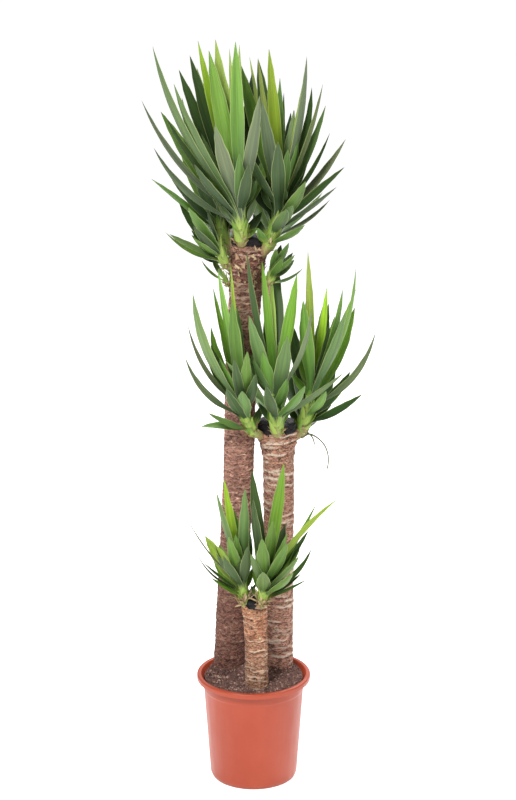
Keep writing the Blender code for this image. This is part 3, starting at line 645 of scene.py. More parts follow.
@dataclass(frozen=True)
class PlasticFinish:
    """Satin plastic of a nursery pot."""

    shade: Colour = (0.322, 0.0405, 0.0118)
    faded: Colour = (0.348, 0.05, 0.017)
    earth: Colour = (0.12, 0.06, 0.038)
    patches: float = 9.0
    roughness: tuple[float, float] = (0.34, 0.46)
    specular: float = 0.42

    def material(self, effects: Effects) -> bpy.types.Material:
        """Make the plastic, with earth on the pot's inside.

        Args:
            effects: the shared node groups.
        Returns:
            The finished material.
        """
        desk = Surface("pot_plastic")
        drift = desk.group(effects.drift, {"First": self.shade, "Second": self.faded, "Scale": self.patches})
        fine = desk.group(effects.relief, {"Scale": 420.0, "Fine share": 0.5})
        soiled = desk.span(desk.fact("inside"), 0.2, 0.9)
        dirt = desk.maths("MULTIPLY", soiled, desk.noise(desk.spot(), 160.0, 4.0), clamp=True)
        drawn = desk.noise(desk.spot((1.0, 1.0, 0.2)), 60.0, 3.0)
        return desk.finish({
            "Base Color": desk.blend(dirt, drift["Color"], self.earth),
            "Roughness": desk.span(drawn, 0.3, 0.7, *self.roughness),
            "Normal": desk.bumped(fine["Height"], 0.1, 0.0002),
            "Specular IOR Level": self.specular,
        })


@dataclass(frozen=True)
class EarthFinish:
    """Dark peat soil with paler crumbs."""

    damp: Colour = (0.046, 0.022, 0.018)
    dry: Colour = (0.19, 0.102, 0.082)
    chip: Colour = (0.48, 0.32, 0.25)
    patches: float = 170.0
    roughness: tuple[float, float] = (0.78, 0.96)
    specular: float = 0.3

    def material(self, effects: Effects) -> bpy.types.Material:
        """Make the soil, paler where a crumb's tone is high.

        Args:
            effects: the shared node groups.
        Returns:
            The finished material.
        """
        desk = Surface("peat_soil")
        drift = desk.group(effects.drift, {"First": self.damp, "Second": self.dry, "Scale": self.patches})
        fine = desk.group(effects.relief, {"Scale": 700.0, "Fine share": 0.6})
        tone = desk.fact("crumb_tone")
        lit = desk.blend(desk.span(tone, 0.25, 0.95), drift["Color"], self.dry)
        return desk.finish({
            "Base Color": desk.blend(desk.span(tone, 0.76, 1.0, 0.0, 0.85), lit, self.chip),
            "Roughness": desk.span(drift["Mask"], 0.0, 1.0, *self.roughness),
            "Normal": desk.bumped(fine["Height"], 0.8, 0.0012),
            "Specular IOR Level": self.specular,
        })


@dataclass(frozen=True)
class BarkFinish:
    """Fibrous bark with pale leaf scars, each cane's in its own colours."""

    name: str
    crevice: Colour
    body: Colour
    patch: Colour
    fleck: Colour
    scar: Colour
    top: Colour
    stretch: Place
    scale: float
    fleck_share: float
    # How much the bark's colour is multiplied where painted light brightens it
    painted_light_gain: Colour
    between_rings: Colour = (0.62, 0.58, 0.56)
    patches: float = 60.0
    roughness: tuple[float, float] = (0.88, 0.7)
    specular: float = 0.28

    def material(self, effects: Effects) -> bpy.types.Material:
        """Make the bark: body, rings, raised and sunk places, painted light by height, flecks and scars, in
        that order.

        Args:
            effects: the shared node groups.
        Returns:
            The finished material.
        """
        desk = Surface(self.name)
        drift = desk.group(effects.drift, {"First": self.body, "Second": self.patch, "Scale": self.patches})
        grain = desk.group(effects.fibres, {
            "Stretch": self.stretch, "Scale": self.scale, "Fleck scale": self.scale * 1.25,
            "Fleck share": self.fleck_share,
        })
        relief = desk.fact("bark_relief")
        colour = desk.blend(desk.share(desk.fact("bark_top"), 0.7), drift["Color"], self.top)
        banded = desk.times(colour, self.between_rings)
        colour = desk.blend(desk.span(desk.fact("bark_band"), -0.7, 0.6, 0.85, 0.0), colour, banded)
        colour = desk.blend(desk.span(relief, 0.1, 1.1, 0.0, 0.75), colour, self.fleck)
        colour = desk.blend(desk.span(grain["Fibre"], 0.04, 0.56, 0.9, 0.0), colour, self.crevice)
        colour = desk.blend(desk.span(relief, -1.0, -0.1, 0.9, 0.0), colour, self.crevice)
        # painted light: the bark is brightened by height, standing in for the light and shade that fall on it
        colour = desk.blend(desk.fact("bark_painted_light"), colour, desk.times(colour, self.painted_light_gain))
        colour = desk.blend(desk.share(grain["Fleck"], 0.8), colour, self.fleck)
        broken = desk.span(desk.noise(desk.spot(), 190.0, 4.0, 0.7), 0.36, 0.52, 0.1, 1.0)
        scar = desk.maths("MULTIPLY", desk.fact("bark_scar"), broken, clamp=True)
        height = desk.maths("MULTIPLY_ADD", grain["Fibre"], 0.8, grain["Fleck"])
        return desk.finish({
            "Base Color": desk.blend(scar, colour, self.scar),
            "Roughness": desk.span(scar, 0.0, 1.0, *self.roughness),
            "Normal": desk.bumped(height, 1.0, 0.0026),
            "Specular IOR Level": self.specular,
        })


@dataclass(frozen=True)
class HuskFinish:
    """Dry papery leaf remains, from brown to cream."""

    brown: Colour = (0.34, 0.15, 0.095)
    cream: Colour = (0.79, 0.65, 0.4)
    shaded: Colour = (0.55, 0.5, 0.42)
    roughness: tuple[float, float] = (0.8, 0.62)

    def material(self, effects: Effects) -> bpy.types.Material:
        """Make the husk, by each scrap's tone.

        Args:
            effects: the shared node groups.
        Returns:
            The finished material.
        """
        desk = Surface("dry_husk")
        fibre = desk.group(effects.fibres, {"Scale": 330.0})["Fibre"]
        colour = desk.blend(desk.fact("husk_tone"), self.brown, self.cream)
        return desk.finish({
            "Base Color": desk.blend(desk.share(fibre, 0.7), desk.times(colour, self.shaded), colour),
            "Roughness": desk.span(fibre, 0.0, 1.0, *self.roughness),
            "Normal": desk.bumped(fibre, 0.5, 0.0004),
        })


@dataclass(frozen=True)
class WaxFinish:
    """Black sealing wax, brushed on and dull in places."""

    shade: Colour = (0.006, 0.005, 0.006)
    worn: Colour = (0.034, 0.027, 0.028)
    patches: float = 230.0
    roughness: tuple[float, float] = (0.52, 0.85)
    specular: float = 0.18

    def material(self, effects: Effects) -> bpy.types.Material:
        """Make the wax.

        Args:
            effects: the shared node groups.
        Returns:
            The finished material.
        """
        desk = Surface("sealing_wax")
        drift = desk.group(effects.drift, {
            "First": self.shade, "Second": self.worn, "Scale": self.patches, "Low": 0.5, "High": 0.72,
        })
        fine = desk.group(effects.relief, {"Scale": 150.0, "Fine share": 0.35})
        return desk.finish({
            "Base Color": drift["Color"],
            "Roughness": desk.span(drift["Mask"], 0.0, 1.0, *self.roughness),
            "Normal": desk.bumped(fine["Height"], 0.8, 0.003),
            "Specular IOR Level": self.specular,
        })


@dataclass(frozen=True)
class LeafFinish:
    """Waxy green leaf: veins along it, pale margins and root, greyer below, light shining through."""

    margin: Colour = (0.45, 0.52, 0.23)
    root: Colour = (0.37, 0.49, 0.1)
    tip: Colour = (0.12, 0.075, 0.04)
    below: Colour = (0.15, 0.215, 0.12)
    below_share: float = 0.16
    # Painted shade towards the leaf's foot, deep in the crown
    painted_shade: Colour = (0.5, 0.58, 0.54)
    vein: Colour = (0.62, 0.68, 0.56)
    streak: Colour = (1.6, 1.58, 1.4)
    glow: Colour = (1.9, 1.75, 0.75)
    through: float = 0.22
    roughness: tuple[float, float] = (0.36, 0.5)
    specular: float = 0.28

    def material(self, effects: Effects) -> bpy.types.Material:
        """Make the leaf: tint, underside, painted shade low in the crown, then the marks of the blade.

        Args:
            effects: the shared node groups.
        Returns:
            The finished material.
        """
        desk = Surface("yucca_leaf")
        marks = desk.group(effects.blade_marks, {})
        tint = desk.fact("leaf_tint", "Color")
        colour = desk.blend(desk.share(desk.fact("leaf_below"), self.below_share), tint, self.below)
        # painted shade: the colour darkens towards the leaf's foot, deep in the crown
        low = desk.span(desk.fact("leaf_share"), 0.06, 0.62, 1.0, 0.0)
        colour = desk.blend(low, colour, desk.times(colour, self.painted_shade))
        colour = desk.blend(desk.share(marks["Vein"], 0.65), colour, desk.times(colour, self.vein))
        lighter = desk.times(colour, self.streak)
        colour = desk.blend(desk.share(marks["Streak"], 0.74), colour, lighter)
        colour = desk.blend(desk.share(marks["Midrib"], 0.45), colour, lighter)
        colour = desk.blend(desk.share(marks["Margin"], 0.64), colour, self.margin)
        colour = desk.blend(marks["Root"], colour, self.root)
        colour = desk.blend(marks["Tip"], colour, self.tip)
        sheer = desk.put("ShaderNodeBsdfTranslucent", {"Color": desk.times(colour, self.glow)})
        lit, shone_through = desk.shader.outputs[0], sheer.outputs[0]
        both = desk.put("ShaderNodeMixShader", {0: self.through, 1: lit, 2: shone_through})
        desk.feed(desk.tree.nodes["Material Output"], {"Surface": both.outputs[0]})
        return desk.finish({
            "Base Color": colour,
            "Roughness": desk.span(marks["Streak"], 0.0, 1.0, *self.roughness),
            "Normal": desk.bumped(marks["Vein"], 0.22, 0.0003),
            "Specular IOR Level": self.specular,
        })


@dataclass(frozen=True)
class StemFinish:
    """Young stem: pale green, brown and ringed where it leaves the cane."""

    young: Colour = (0.3, 0.39, 0.085)
    green: Colour = (0.15, 0.23, 0.045)
    root: Colour = (0.25, 0.13, 0.07)
    patches: float = 90.0
    stretch: Place = (1.0, 1.0, 0.16)
    roughness: tuple[float, float] = (0.62, 0.48)

    def material(self, effects: Effects) -> bpy.types.Material:
        """Make the stem.

        Args:
            effects: the shared node groups.
        Returns:
            The finished material.
        """
        desk = Surface("young_stem")
        drift = desk.group(effects.drift, {"First": self.young, "Second": self.green, "Scale": self.patches})
        fibre = desk.group(effects.fibres, {"Stretch": self.stretch, "Scale": 420.0})["Fibre"]
        ringed = desk.blend(desk.span(desk.fact("stem_ring"), 0.5, 1.0, 0.0, 0.7), drift["Color"], self.root)
        rise = desk.maths("MULTIPLY_ADD", fibre, 0.25, desk.fact("stem_rise"))
        return desk.finish({
            "Base Color": desk.blend(desk.span(rise, 0.2, 0.5, 1.0, 0.0), ringed, self.root),
            "Roughness": desk.span(fibre, 0.0, 1.0, *self.roughness),
            "Normal": desk.bumped(fibre, 0.4, 0.0005),
        })


# Meshes

def in_scene(name: str, data: Any) -> bpy.types.Object:
    """Put a mesh, a lamp or the camera into the scene.

    Args:
        name: the object's name.
        data: what the object holds.
    Returns:
        The object.
    """
    made = bpy.data.objects.new(name, data)
    bpy.context.scene.collection.objects.link(made)
    return made


def mark(mesh: bpy.types.Mesh, facts: dict[str, np.ndarray]) -> None:
    """Keep numbers or colours with a mesh's points.

    Args:
        mesh: the mesh.
        facts: a number or a colour for each point, under each name.
    """
    for label, values in facts.items():
        kind, field_name = ("FLOAT_COLOR", "color") if values.ndim == 2 else ("FLOAT", "value")
        fact = mesh.attributes.new(label, kind, "POINT")
        fact.data.foreach_set(field_name, values.astype(np.float32).ravel())


def mesh_piece(
    name: str,
    points: np.ndarray,
    faces: np.ndarray | list[list[int]],
    facts: dict[str, np.ndarray] | None = None,
    sharp: float | None = None,
) -> bpy.types.Object:
    """Make an object from points and faces.

    Args:
        name: its name.
        points: one row of three numbers a point.
        faces: one row of point numbers a face.
        facts: numbers or colours kept with each point.
        sharp: angle in degrees over which an edge stays sharp, or None for smooth all over.
    Returns:
        The object.
    """
    mesh = bpy.data.meshes.new(name)
    mesh.from_pydata(points.tolist(), [], faces if isinstance(faces, list) else faces.tolist())
    mark(mesh, facts or {})
    mesh.shade_smooth()
    if sharp is not None:
        mesh.set_sharp_from_angle(angle=math.radians(sharp))
    return in_scene(name, mesh)


def grid_faces(rows: int, columns: int, closed: bool = True) -> np.ndarray:
    """Faces of a grid of points, row by row.

    Args:
        rows: how many rows of points.
        columns: how many points a row.
        closed: whether each row joins up round.
    Returns:
        One row of four point numbers a face.
    """
    row = np.arange(rows - 1)[:, None] * columns
    step = np.arange(columns if closed else columns - 1)[None, :]
    after = (step + 1) % columns
    faces = [row + step, row + after, row + columns + after, row + columns + step]
    return np.stack(faces, axis=-1).reshape(-1, 4)


def two_sheets(rows: int, columns: int) -> np.ndarray:
    """Faces of two sheets of points that lie back to back, such as a leaf's two sides."""
    sheet = grid_faces(rows, columns, False)
    return np.concatenate([sheet[:, ::-1], sheet + rows * columns])


def joined(parts: list[Patch]) -> Patch:
    """Join several small meshes.

    Args:
        parts: points, faces and facts of each.
    Returns:
        Points, faces and facts of all.
    """
    starts = np.cumsum([0] + [len(points) for points, _, _ in parts])
    faces = [shape + start for (_, shape, _), start in zip(parts, starts)]
    facts = {label: np.concatenate([marks[label] for _, _, marks in parts]) for label in parts[0][2]}
    return np.concatenate([points for points, _, _ in parts]), np.concatenate(faces), facts


def round_angles(sides: int) -> np.ndarray:
    """Even angles round a circle."""
    return np.arange(sides) * math.tau / sides


def turned(reach: Any, angle: np.ndarray, height: Any, centre: tuple[Any, Any] = (0.0, 0.0)) -> np.ndarray:
    """Points round an upright axis.

    Args:
        reach: distances from the axis.
        angle: angles round it.
        height: heights.
        centre: X and Y of the axis.
    Returns:
        The points, a row of three numbers each, in the shape that the distances, angles and heights share.
    """
    x, y = centre
    place = np.broadcast_arrays(x + reach * np.cos(angle), y + reach * np.sin(angle), height)
    return np.stack(place, axis=-1)


def rough_field(angle: np.ndarray, height: np.ndarray, cells: int, pitch: float, seed: int) -> np.ndarray:
    """Smooth random relief round a cane, from -1 to 1.

    Args:
        angle: where round the cane, in radians.
        height: how high up it.
        cells: how many lumps go round.
        pitch: height of one lump.
        seed: what the draw starts from.
    Returns:
        The relief at each point.
    """
    lumps = np.random.default_rng(seed).uniform(-1.0, 1.0, (int(np.ptp(height) / pitch) + 3, cells))
    across = (angle / math.tau * cells) % cells
    along = (height - height.min()) / pitch
    left, low = np.floor(across).astype(int), np.floor(along).astype(int)
    side, up = across - left, along - low
    side, up = side * side * (3 - 2 * side), up * up * (3 - 2 * up)
    right, left = (left + 1) % cells, left % cells
    bottom = lumps[low, left] * (1 - side) + lumps[low, right] * side
    top = lumps[low + 1, left] * (1 - side) + lumps[low + 1, right] * side
    return bottom * (1 - up) + top * up


def wear(piece: bpy.types.Object, nodes: tuple[str, ...], material: bpy.types.Material) -> None:
    """Dress a piece, ride it on the part and let it stand for its solids.

    Args:
        piece: the object.
        nodes: the solids that it stands for.
        material: its material.
    """
    piece.data.materials.append(material)
    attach(piece, "root")
    if nodes:
        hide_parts(*nodes)
    triangles = sum(len(face.vertices) - 2 for face in piece.data.polygons)
    LOG.info("%s: %d triangles", piece.name, triangles)


# Pot and soil

@dataclass
class NurseryPot:
    """Turned plastic pot with a rolled rim and drain holes."""

    height: float = 0.23
    rim_radius: float = 0.12
    rim_depth: float = 0.0108
    foot_radius: float = 0.0922
    floor: float = 0.0028
    sides: int = 160
    drain_holes: int = 6
    drain_radius: float = 0.005
    drain_circle: float = 0.06
    corner_steps: tuple[float, ...] = (0.0, 0.25, 0.5, 0.75, 1.0)

    def profile(self) -> list[Place]:
        """Trace the wall.

        Returns:
            Radius, height and rounding of each corner, from the axis inside round to the axis below.
        """
        low = self.height - self.rim_depth
        return [
            (0.0, self.floor, 0.0), (0.088, self.floor, 0.002), (0.0898, 0.005, 0.001),
            (0.103, 0.198, 0.002), (0.1042, 0.2165, 0.002), (0.1096, 0.2275, 0.003),
            (0.1112, self.height, 0.0012), (0.1184, self.height, 0.0014), (self.rim_radius, 0.2278, 0.0012),
            (self.rim_radius, low, 0.0005), (0.1182, low, 0.0005),
            (0.1174, 0.2268, 0.001), (0.1122, 0.2268, 0.001), (0.1068, 0.2158, 0.002),
            (0.1064, 0.2, 0.0012), (0.1052, 0.1962, 0.0012), (self.foot_radius, 0.008, 0.004),
            (0.0885, 0.0, 0.001), (0.0, 0.0, 0.0),
        ]

    def rounded(self) -> np.ndarray:
        """Turn every corner of the wall into a small curve.

        Returns:
            Radius and height of each point.
        """
        corners = self.profile()
        places = []
        for before, corner, after in zip(corners, corners[1:], corners[2:]):
            here = np.array(corner[:2])
            back, on = np.array(before[:2]) - here, np.array(after[:2]) - here
            start = here + back * min(0.45, corner[2] / np.linalg.norm(back))
            end = here + on * min(0.45, corner[2] / np.linalg.norm(on))
            for share in self.corner_steps:
                rest = 1.0 - share
                places.append(start * rest * rest + here * 2 * rest * share + end * share * share)
        return np.array(places)

    def build(self, effects: Effects) -> None:
        """Make the pot.

        Args:
            effects: the shared node groups.
        """
        rows = self.rounded()
        points = turned(rows[:, :1], round_angles(self.sides), rows[:, 1:]).reshape(-1, 3)
        faces = grid_faces(len(rows), self.sides).tolist()
        faces.append(list(range(self.sides))[::-1])
        faces.append([(len(rows) - 1) * self.sides + step for step in range(self.sides)])
        pot = mesh_piece("pot_shell", points, faces)
        self.drill(pot)
        body = bmesh.new()
        body.from_mesh(pot.data)
        bmesh.ops.triangulate(body, faces=[face for face in body.faces if len(face.verts) > 4])
        bmesh.ops.recalc_face_normals(body, faces=body.faces)
        body.to_mesh(pot.data)
        body.free()
        places = np.array([vertex.co for vertex in pot.data.vertices])
        middle_of_wall = np.interp(places[:, 2], [0.0, 0.2], [0.0905, 0.1045])
        inside = (np.hypot(places[:, 0], places[:, 1]) < middle_of_wall) & (places[:, 2] > 0.002)
        mark(pot.data, {"inside": inside})
        pot.data.shade_smooth()
        pot.data.set_sharp_from_angle(angle=math.radians(40.0))
        wear(pot, ("pot",), PlasticFinish().material(effects))

    def drill(self, pot: bpy.types.Object) -> None:
        """Cut the drain holes through the floor.

        Args:
            pot: the pot's object.
        """
        for index in range(self.drain_holes):
            angle = math.tau * (index + 0.4) / self.drain_holes
            bpy.ops.mesh.primitive_cylinder_add(
                vertices=24, radius=self.drain_radius, depth=0.02,
                location=(math.cos(angle) * self.drain_circle, math.sin(angle) * self.drain_circle, 0.0),
            )
            drill = bpy.context.object
            hole = pot.modifiers.new("drain", "BOOLEAN")
            hole.operation = "DIFFERENCE"
            hole.solver = "EXACT"
            hole.object = drill
            graph = bpy.context.evaluated_depsgraph_get()
            baked = bpy.data.meshes.new_from_object(pot.evaluated_get(graph), depsgraph=graph)
            pot.modifiers.clear()
            pot.data = baked
            bpy.data.objects.remove(drill)


@dataclass
class SoilBed:
    """Peat soil that fills the pot round the canes' feet, with loose crumbs on top."""

    feet: tuple[Place, ...]
    edge: float = 0.104
    sides: int = 200
    rings: int = 76
    slope: tuple[tuple[float, ...], tuple[float, ...]] = (
        (0.0, 0.035, 0.07, 0.102, 0.106), (0.2302, 0.229, 0.2268, 0.2242, 0.2222),
    )
    mound: float = 0.0022
    mound_width: float = 0.01
    clods: tuple[float, float] = (0.0012, 0.0011)
    grit: float = 0.0008
    skirt: tuple[tuple[float, float], ...] = (
        (0.1039, 0.2165), (0.1026, 0.198), (0.0894, 0.005), (0.0876, 0.0031),
    )
    crumbs: int = 5200
    crumb_size: tuple[float, float] = (0.0008, 0.0031)
    crumb_lumps: tuple[float, float] = (0.65, 1.25)
    crumb_stretch: tuple[float, float] = (0.7, 1.3)

    def level(self, x: np.ndarray, y: np.ndarray) -> np.ndarray:
        """Height of the soil's surface.

        Args:
            x: places along X.
            y: places along Y.
        Returns:
            The height at each place.
        """
        reach, angle = np.hypot(x, y), np.arctan2(y, x)
        height = np.interp(reach, *self.slope)
        for cx, cy, radius in self.feet:
            away = np.maximum(np.hypot(x - cx, y - cy) - radius, 0.0)
            height = height + self.mound * np.exp(-(away / self.mound_width) ** 2)
        height = height + self.clods[0] * rough_field(angle, reach, 9, 0.026, SEED + 1)
        return height + self.clods[1] * rough_field(angle, reach, 34, 0.008, SEED + 2)

    def build(self, effects: Effects) -> None:
        """Make the soil and its crumbs.

        Args:
            effects: the shared node groups.
        """
        earth = EarthFinish().material(effects)
        reach = np.linspace(0.0015, self.edge, self.rings)[:, None]
        angle = round_angles(self.sides)[None, :]
        surface = self.level(reach * np.cos(angle), reach * np.sin(angle))
        grit = np.random.default_rng(SEED + 3).uniform(-self.grit, self.grit, surface.shape)
        grit[-1] = 0.0
        rings = [turned(reach, angle, surface + grit)]
        rings += [turned(radius, angle, height) for radius, height in self.skirt]
        rows = np.concatenate(rings)
        middle = float(self.level(np.zeros(1), np.zeros(1))[0])
        points = np.concatenate([rows.reshape(-1, 3), [[0.0, 0.0, middle], [0.0, 0.0, self.skirt[-1][1]]]])
        step = np.arange(self.sides)
        after = (step + 1) % self.sides
        last = (len(rows) - 1) * self.sides
        inner = np.stack([after, step, np.full_like(step, len(points) - 2)], axis=-1)
        outer = np.stack([last + step, last + after, np.full_like(step, len(points) - 1)], axis=-1)
        faces = grid_faces(len(rows), self.sides).tolist() + inner.tolist() + outer.tolist()
        tone = np.random.default_rng(SEED + 4).uniform(0.0, 0.5, len(points))
        bed = mesh_piece("soil_bed", points, faces, {"crumb_tone": tone}, 60.0)
        wear(bed, ("soil",), earth)
        self.scatter(earth)

    def scatter(self, earth: bpy.types.Material) -> None:
        """Strew the loose crumbs.

        Args:
            earth: the soil's material.
        """
        seedbed = bmesh.new()
        bmesh.ops.create_icosphere(seedbed, subdivisions=1, radius=1.0)
        ball = np.array([vertex.co for vertex in seedbed.verts])
        shell = np.array([[vertex.index for vertex in face.verts] for face in seedbed.faces])
        seedbed.free()
        rng = np.random.default_rng(SEED + 5)
        smallest, largest = self.crumb_size
        crumbs: list[Patch] = []
        while len(crumbs) < self.crumbs:
            reach = (self.edge - 0.003) * math.sqrt(rng.uniform())
            angle = rng.uniform(0.0, math.tau)
            x, y = reach * math.cos(angle), reach * math.sin(angle)
            if any(math.hypot(x - cx, y - cy) < radius - 0.001 for cx, cy, radius in self.feet):
                continue
            size = smallest + (largest - smallest) * rng.uniform() ** 2.2
            lumpy = ball * rng.uniform(*self.crumb_lumps, (len(ball), 1))
            lumpy = lumpy * rng.uniform(*self.crumb_stretch, 3) * size
            spin = rng.uniform(0.0, math.tau)
            cos, sin = math.cos(spin), math.sin(spin)
            turn = np.array([[cos, -sin, 0], [sin, cos, 0], [0, 0, 1]])
            z = float(self.level(np.array([x, 0.0]), np.array([y, 0.0]))[0]) + size * rng.uniform(0.0, 0.5)
            tone = np.full(len(ball), rng.uniform() ** 1.3)
            crumbs.append((lumpy @ turn.T + np.array([x, y, z]), shell, {"crumb_tone": tone}))
        wear(mesh_piece("soil_crumbs", *joined(crumbs), 50.0), (), earth)


# Canes

@dataclass
class Cane:
    """A rooted cane: its centre line with radii, and how its bark is marked."""

    key: str
    line: tuple[tuple[float, float, float, float], ...]
    reach: float
    knobs: float
    scar_pitch: float
    scar_strength: tuple[float, float, float]
    finish: BarkFinish
    # Heights, and how much painted light brightens the bark at each
    painted_light: tuple[tuple[float, float], ...]
    scar_thickness: tuple[float, float] = (0.0011, 0.0021)
    scars_a_ring: tuple[int, ...] = (1, 2, 2, 3, 3)
    scar_half_turn: tuple[float, float] = (0.35, 1.45)
    scar_spacing: tuple[float, float] = (0.75, 1.3)
    scar_slope: float = 0.004
    scar_bow: tuple[float, float] = (-0.0035, 0.0015)
    scar_ripple: float = 0.0012
    scar_ridge: float = 0.00085
    scar_groove: float = 0.0006
    depths: tuple[float, float, float] = (0.001, 0.0009, 0.00035)
    band_wander: float = 0.0045
    swollen: float = 0.1
    collar: float = 0.003
    collar_width: float = 0.0045
    sides: int = 112
    ring: float = 0.0014

    @property
    def top(self) -> float:
        """Height of the sawn top."""
        return self.line[-1][2]

    def centre(self, height: np.ndarray) -> tuple[np.ndarray, ...]:
        """Centre and radius of the cane.

        Args:
            height: heights to read.
        Returns:
            X, Y and radius at each height.
        """
        heights = [place[2] for place in self.line]
        return tuple(np.interp(height, heights, [place[k] for place in self.line]) for k in (0, 1, 3))

    def bands(self, angle: np.ndarray, height: np.ndarray) -> np.ndarray:
        """Uneven rings of growth round the cane.

        Args:
            angle: where round the cane each point is.
            height: how high it is.
        Returns:
            The rings' swell, from -1 to 1.
        """
        wander = self.band_wander * rough_field(angle, height, 5, 0.05, SEED + 21)
        level = (height + wander) / self.scar_pitch
        pulse = np.cos(level * math.tau + 1.2 * rough_field(angle, height, 4, 0.03, SEED + 22))
        return pulse * (0.65 + 0.35 * rough_field(angle, height, 8, 0.016, SEED + 23))

    def scars(self, angle: np.ndarray, height: np.ndarray) -> tuple[np.ndarray, np.ndarray]:
        """Lay leaf scars round the cane.

        Args:
            angle: where round the cane each point is.
            height: how high it is.
        Returns:
            How far the scars stand out in metres, and how pale each point is.
        """
        rng = random.Random(f"{SEED}{self.key}")
        stand, pale = np.zeros_like(height), np.zeros_like(height)
        level = SOIL_LEVEL - 0.01
        while level < self.top:
            share = (level - SOIL_LEVEL) / (self.top - SOIL_LEVEL)
            strength = float(np.interp(share, (0.0, 0.5, 1.0), self.scar_strength))
            for _ in range(rng.choice(self.scars_a_ring)):
                middle, half = rng.uniform(0, math.tau), rng.uniform(*self.scar_half_turn)
                turn = (angle - middle + math.pi) % math.tau - math.pi
                fade = np.clip(1.0 - (np.abs(turn) / half) ** 4, 0.0, 1.0)
                lift = level + rng.uniform(-0.35, 0.35) * self.scar_pitch
                bend = rng.uniform(-self.scar_slope, self.scar_slope) * turn
                bend = bend + rng.uniform(*self.scar_bow) * turn * turn
                bend = bend + self.scar_ripple * np.sin(turn * rng.uniform(4.0, 9.0) + rng.uniform(0, 6.0))
                away = height - lift - bend
                thick = rng.uniform(*self.scar_thickness)
                line = np.exp(-(away / thick) ** 2)
                groove = np.exp(-((away + 2.2 * thick) / (1.3 * thick)) ** 2) * fade
                stand += (line * fade * self.scar_ridge - groove * self.scar_groove) * rng.uniform(0.5, 1.2)
                shown = np.clip(1.7 * line - 0.35, 0.0, 1.0) * fade
                pale = np.maximum(pale, shown * strength * rng.uniform(0.35, 1.25))
            level += self.scar_pitch * rng.uniform(*self.scar_spacing)
        return stand, np.clip(pale, 0.0, 1.0)

    def collars(self, points: np.ndarray) -> np.ndarray:
        """Swell the bark where the shoots leave it.

        Args:
            points: the bark's points.
        Returns:
            How far each point stands out, in metres.
        """
        swell = np.zeros(len(points))
        for shoot in (shoot for shoot in SHOOTS if shoot.cane == self.key):
            root, out = np.array(shoot.stem[0]), np.array(shoot.stem[1])
            along = (out - root) / np.linalg.norm(out - root)
            away = points - root
            side = np.linalg.norm(away - (away @ along)[:, None] * along, axis=1)
            front = (away @ along) > 0.0
            ring = np.exp(-((side - shoot.radius * 0.9) / self.collar_width) ** 2)
            swell = np.maximum(swell, front * self.collar * ring)
        return swell

    def build(self, effects: Effects) -> None:
        """Make the bark, up over the sawn end and under the wax.

        Args:
            effects: the shared node groups.
        """
        top, foot, ground = self.top, self.line[0][2], self.line[1][2]
        shown = np.arange(SOIL_LEVEL - 0.016, top, self.ring)
        heights = np.concatenate([[foot, foot + 0.006, ground - 0.002], shown, [top]])
        angle = round_angles(self.sides)
        high, turn = np.meshgrid(heights, angle, indexing="ij")
        x, y, radius = self.centre(high)
        seeds = itertools.count(SEED + len(self.line) * 7)
        relief, fine, lumps = (
            sum(share * rough_field(turn, high, cells, pitch, next(seeds)) for share, cells, pitch in layers)
            for layers in BARK_LAYERS
        )
        near_top = np.clip((high - (top - self.swollen)) / self.swollen, 0.0, 1.0)
        band = self.bands(turn, high)
        stand, pale = self.scars(turn, high)
        grown = sum(depth * layer for depth, layer in zip(self.depths, (relief, fine, band)))
        grown = grown + stand + near_top * lumps * self.knobs
        points = turned(radius + grown, turn, high, (x, y)).reshape(-1, 3)
        swell = self.collars(points)
        points[:, 0] += swell * np.cos(turn).ravel()
        points[:, 1] += swell * np.sin(turn).ravel()
        sawn = radius[-1, 0] - SAWN_STEP
        crest = top + self.reach
        lip = np.array([(sawn, top + 0.0004), (sawn, crest - 0.003), (0.002, crest - 0.001)])
        lips = turned(lip[:, :1], angle, lip[:, 1:], (x[-1, 0], y[-1, 0])).reshape(-1, 3)
        # painted light: how much the bark is brightened at each height
        painted_light = np.interp(high, [level for level, _ in self.painted_light], [share for _, share in self.painted_light])
        facts = {
            "bark_relief": relief * 0.5 + fine * 0.9 + stand * 700.0 + near_top * lumps * 0.8,
            "bark_band": band,
            "bark_scar": pale,
            "bark_top": near_top,
            "bark_painted_light": painted_light,
        }
        facts = {label: np.pad(values.ravel(), (0, len(lips))) for label, values in facts.items()}
        facts["bark_top"][-len(lips):] = 1.0
        faces = grid_faces(len(heights) + len(lip), self.sides)
        bark = mesh_piece(f"bark_{self.key}", np.concatenate([points, lips]), faces, facts)
        wear(bark, (f"cane_{self.key}",), self.finish.material(effects))


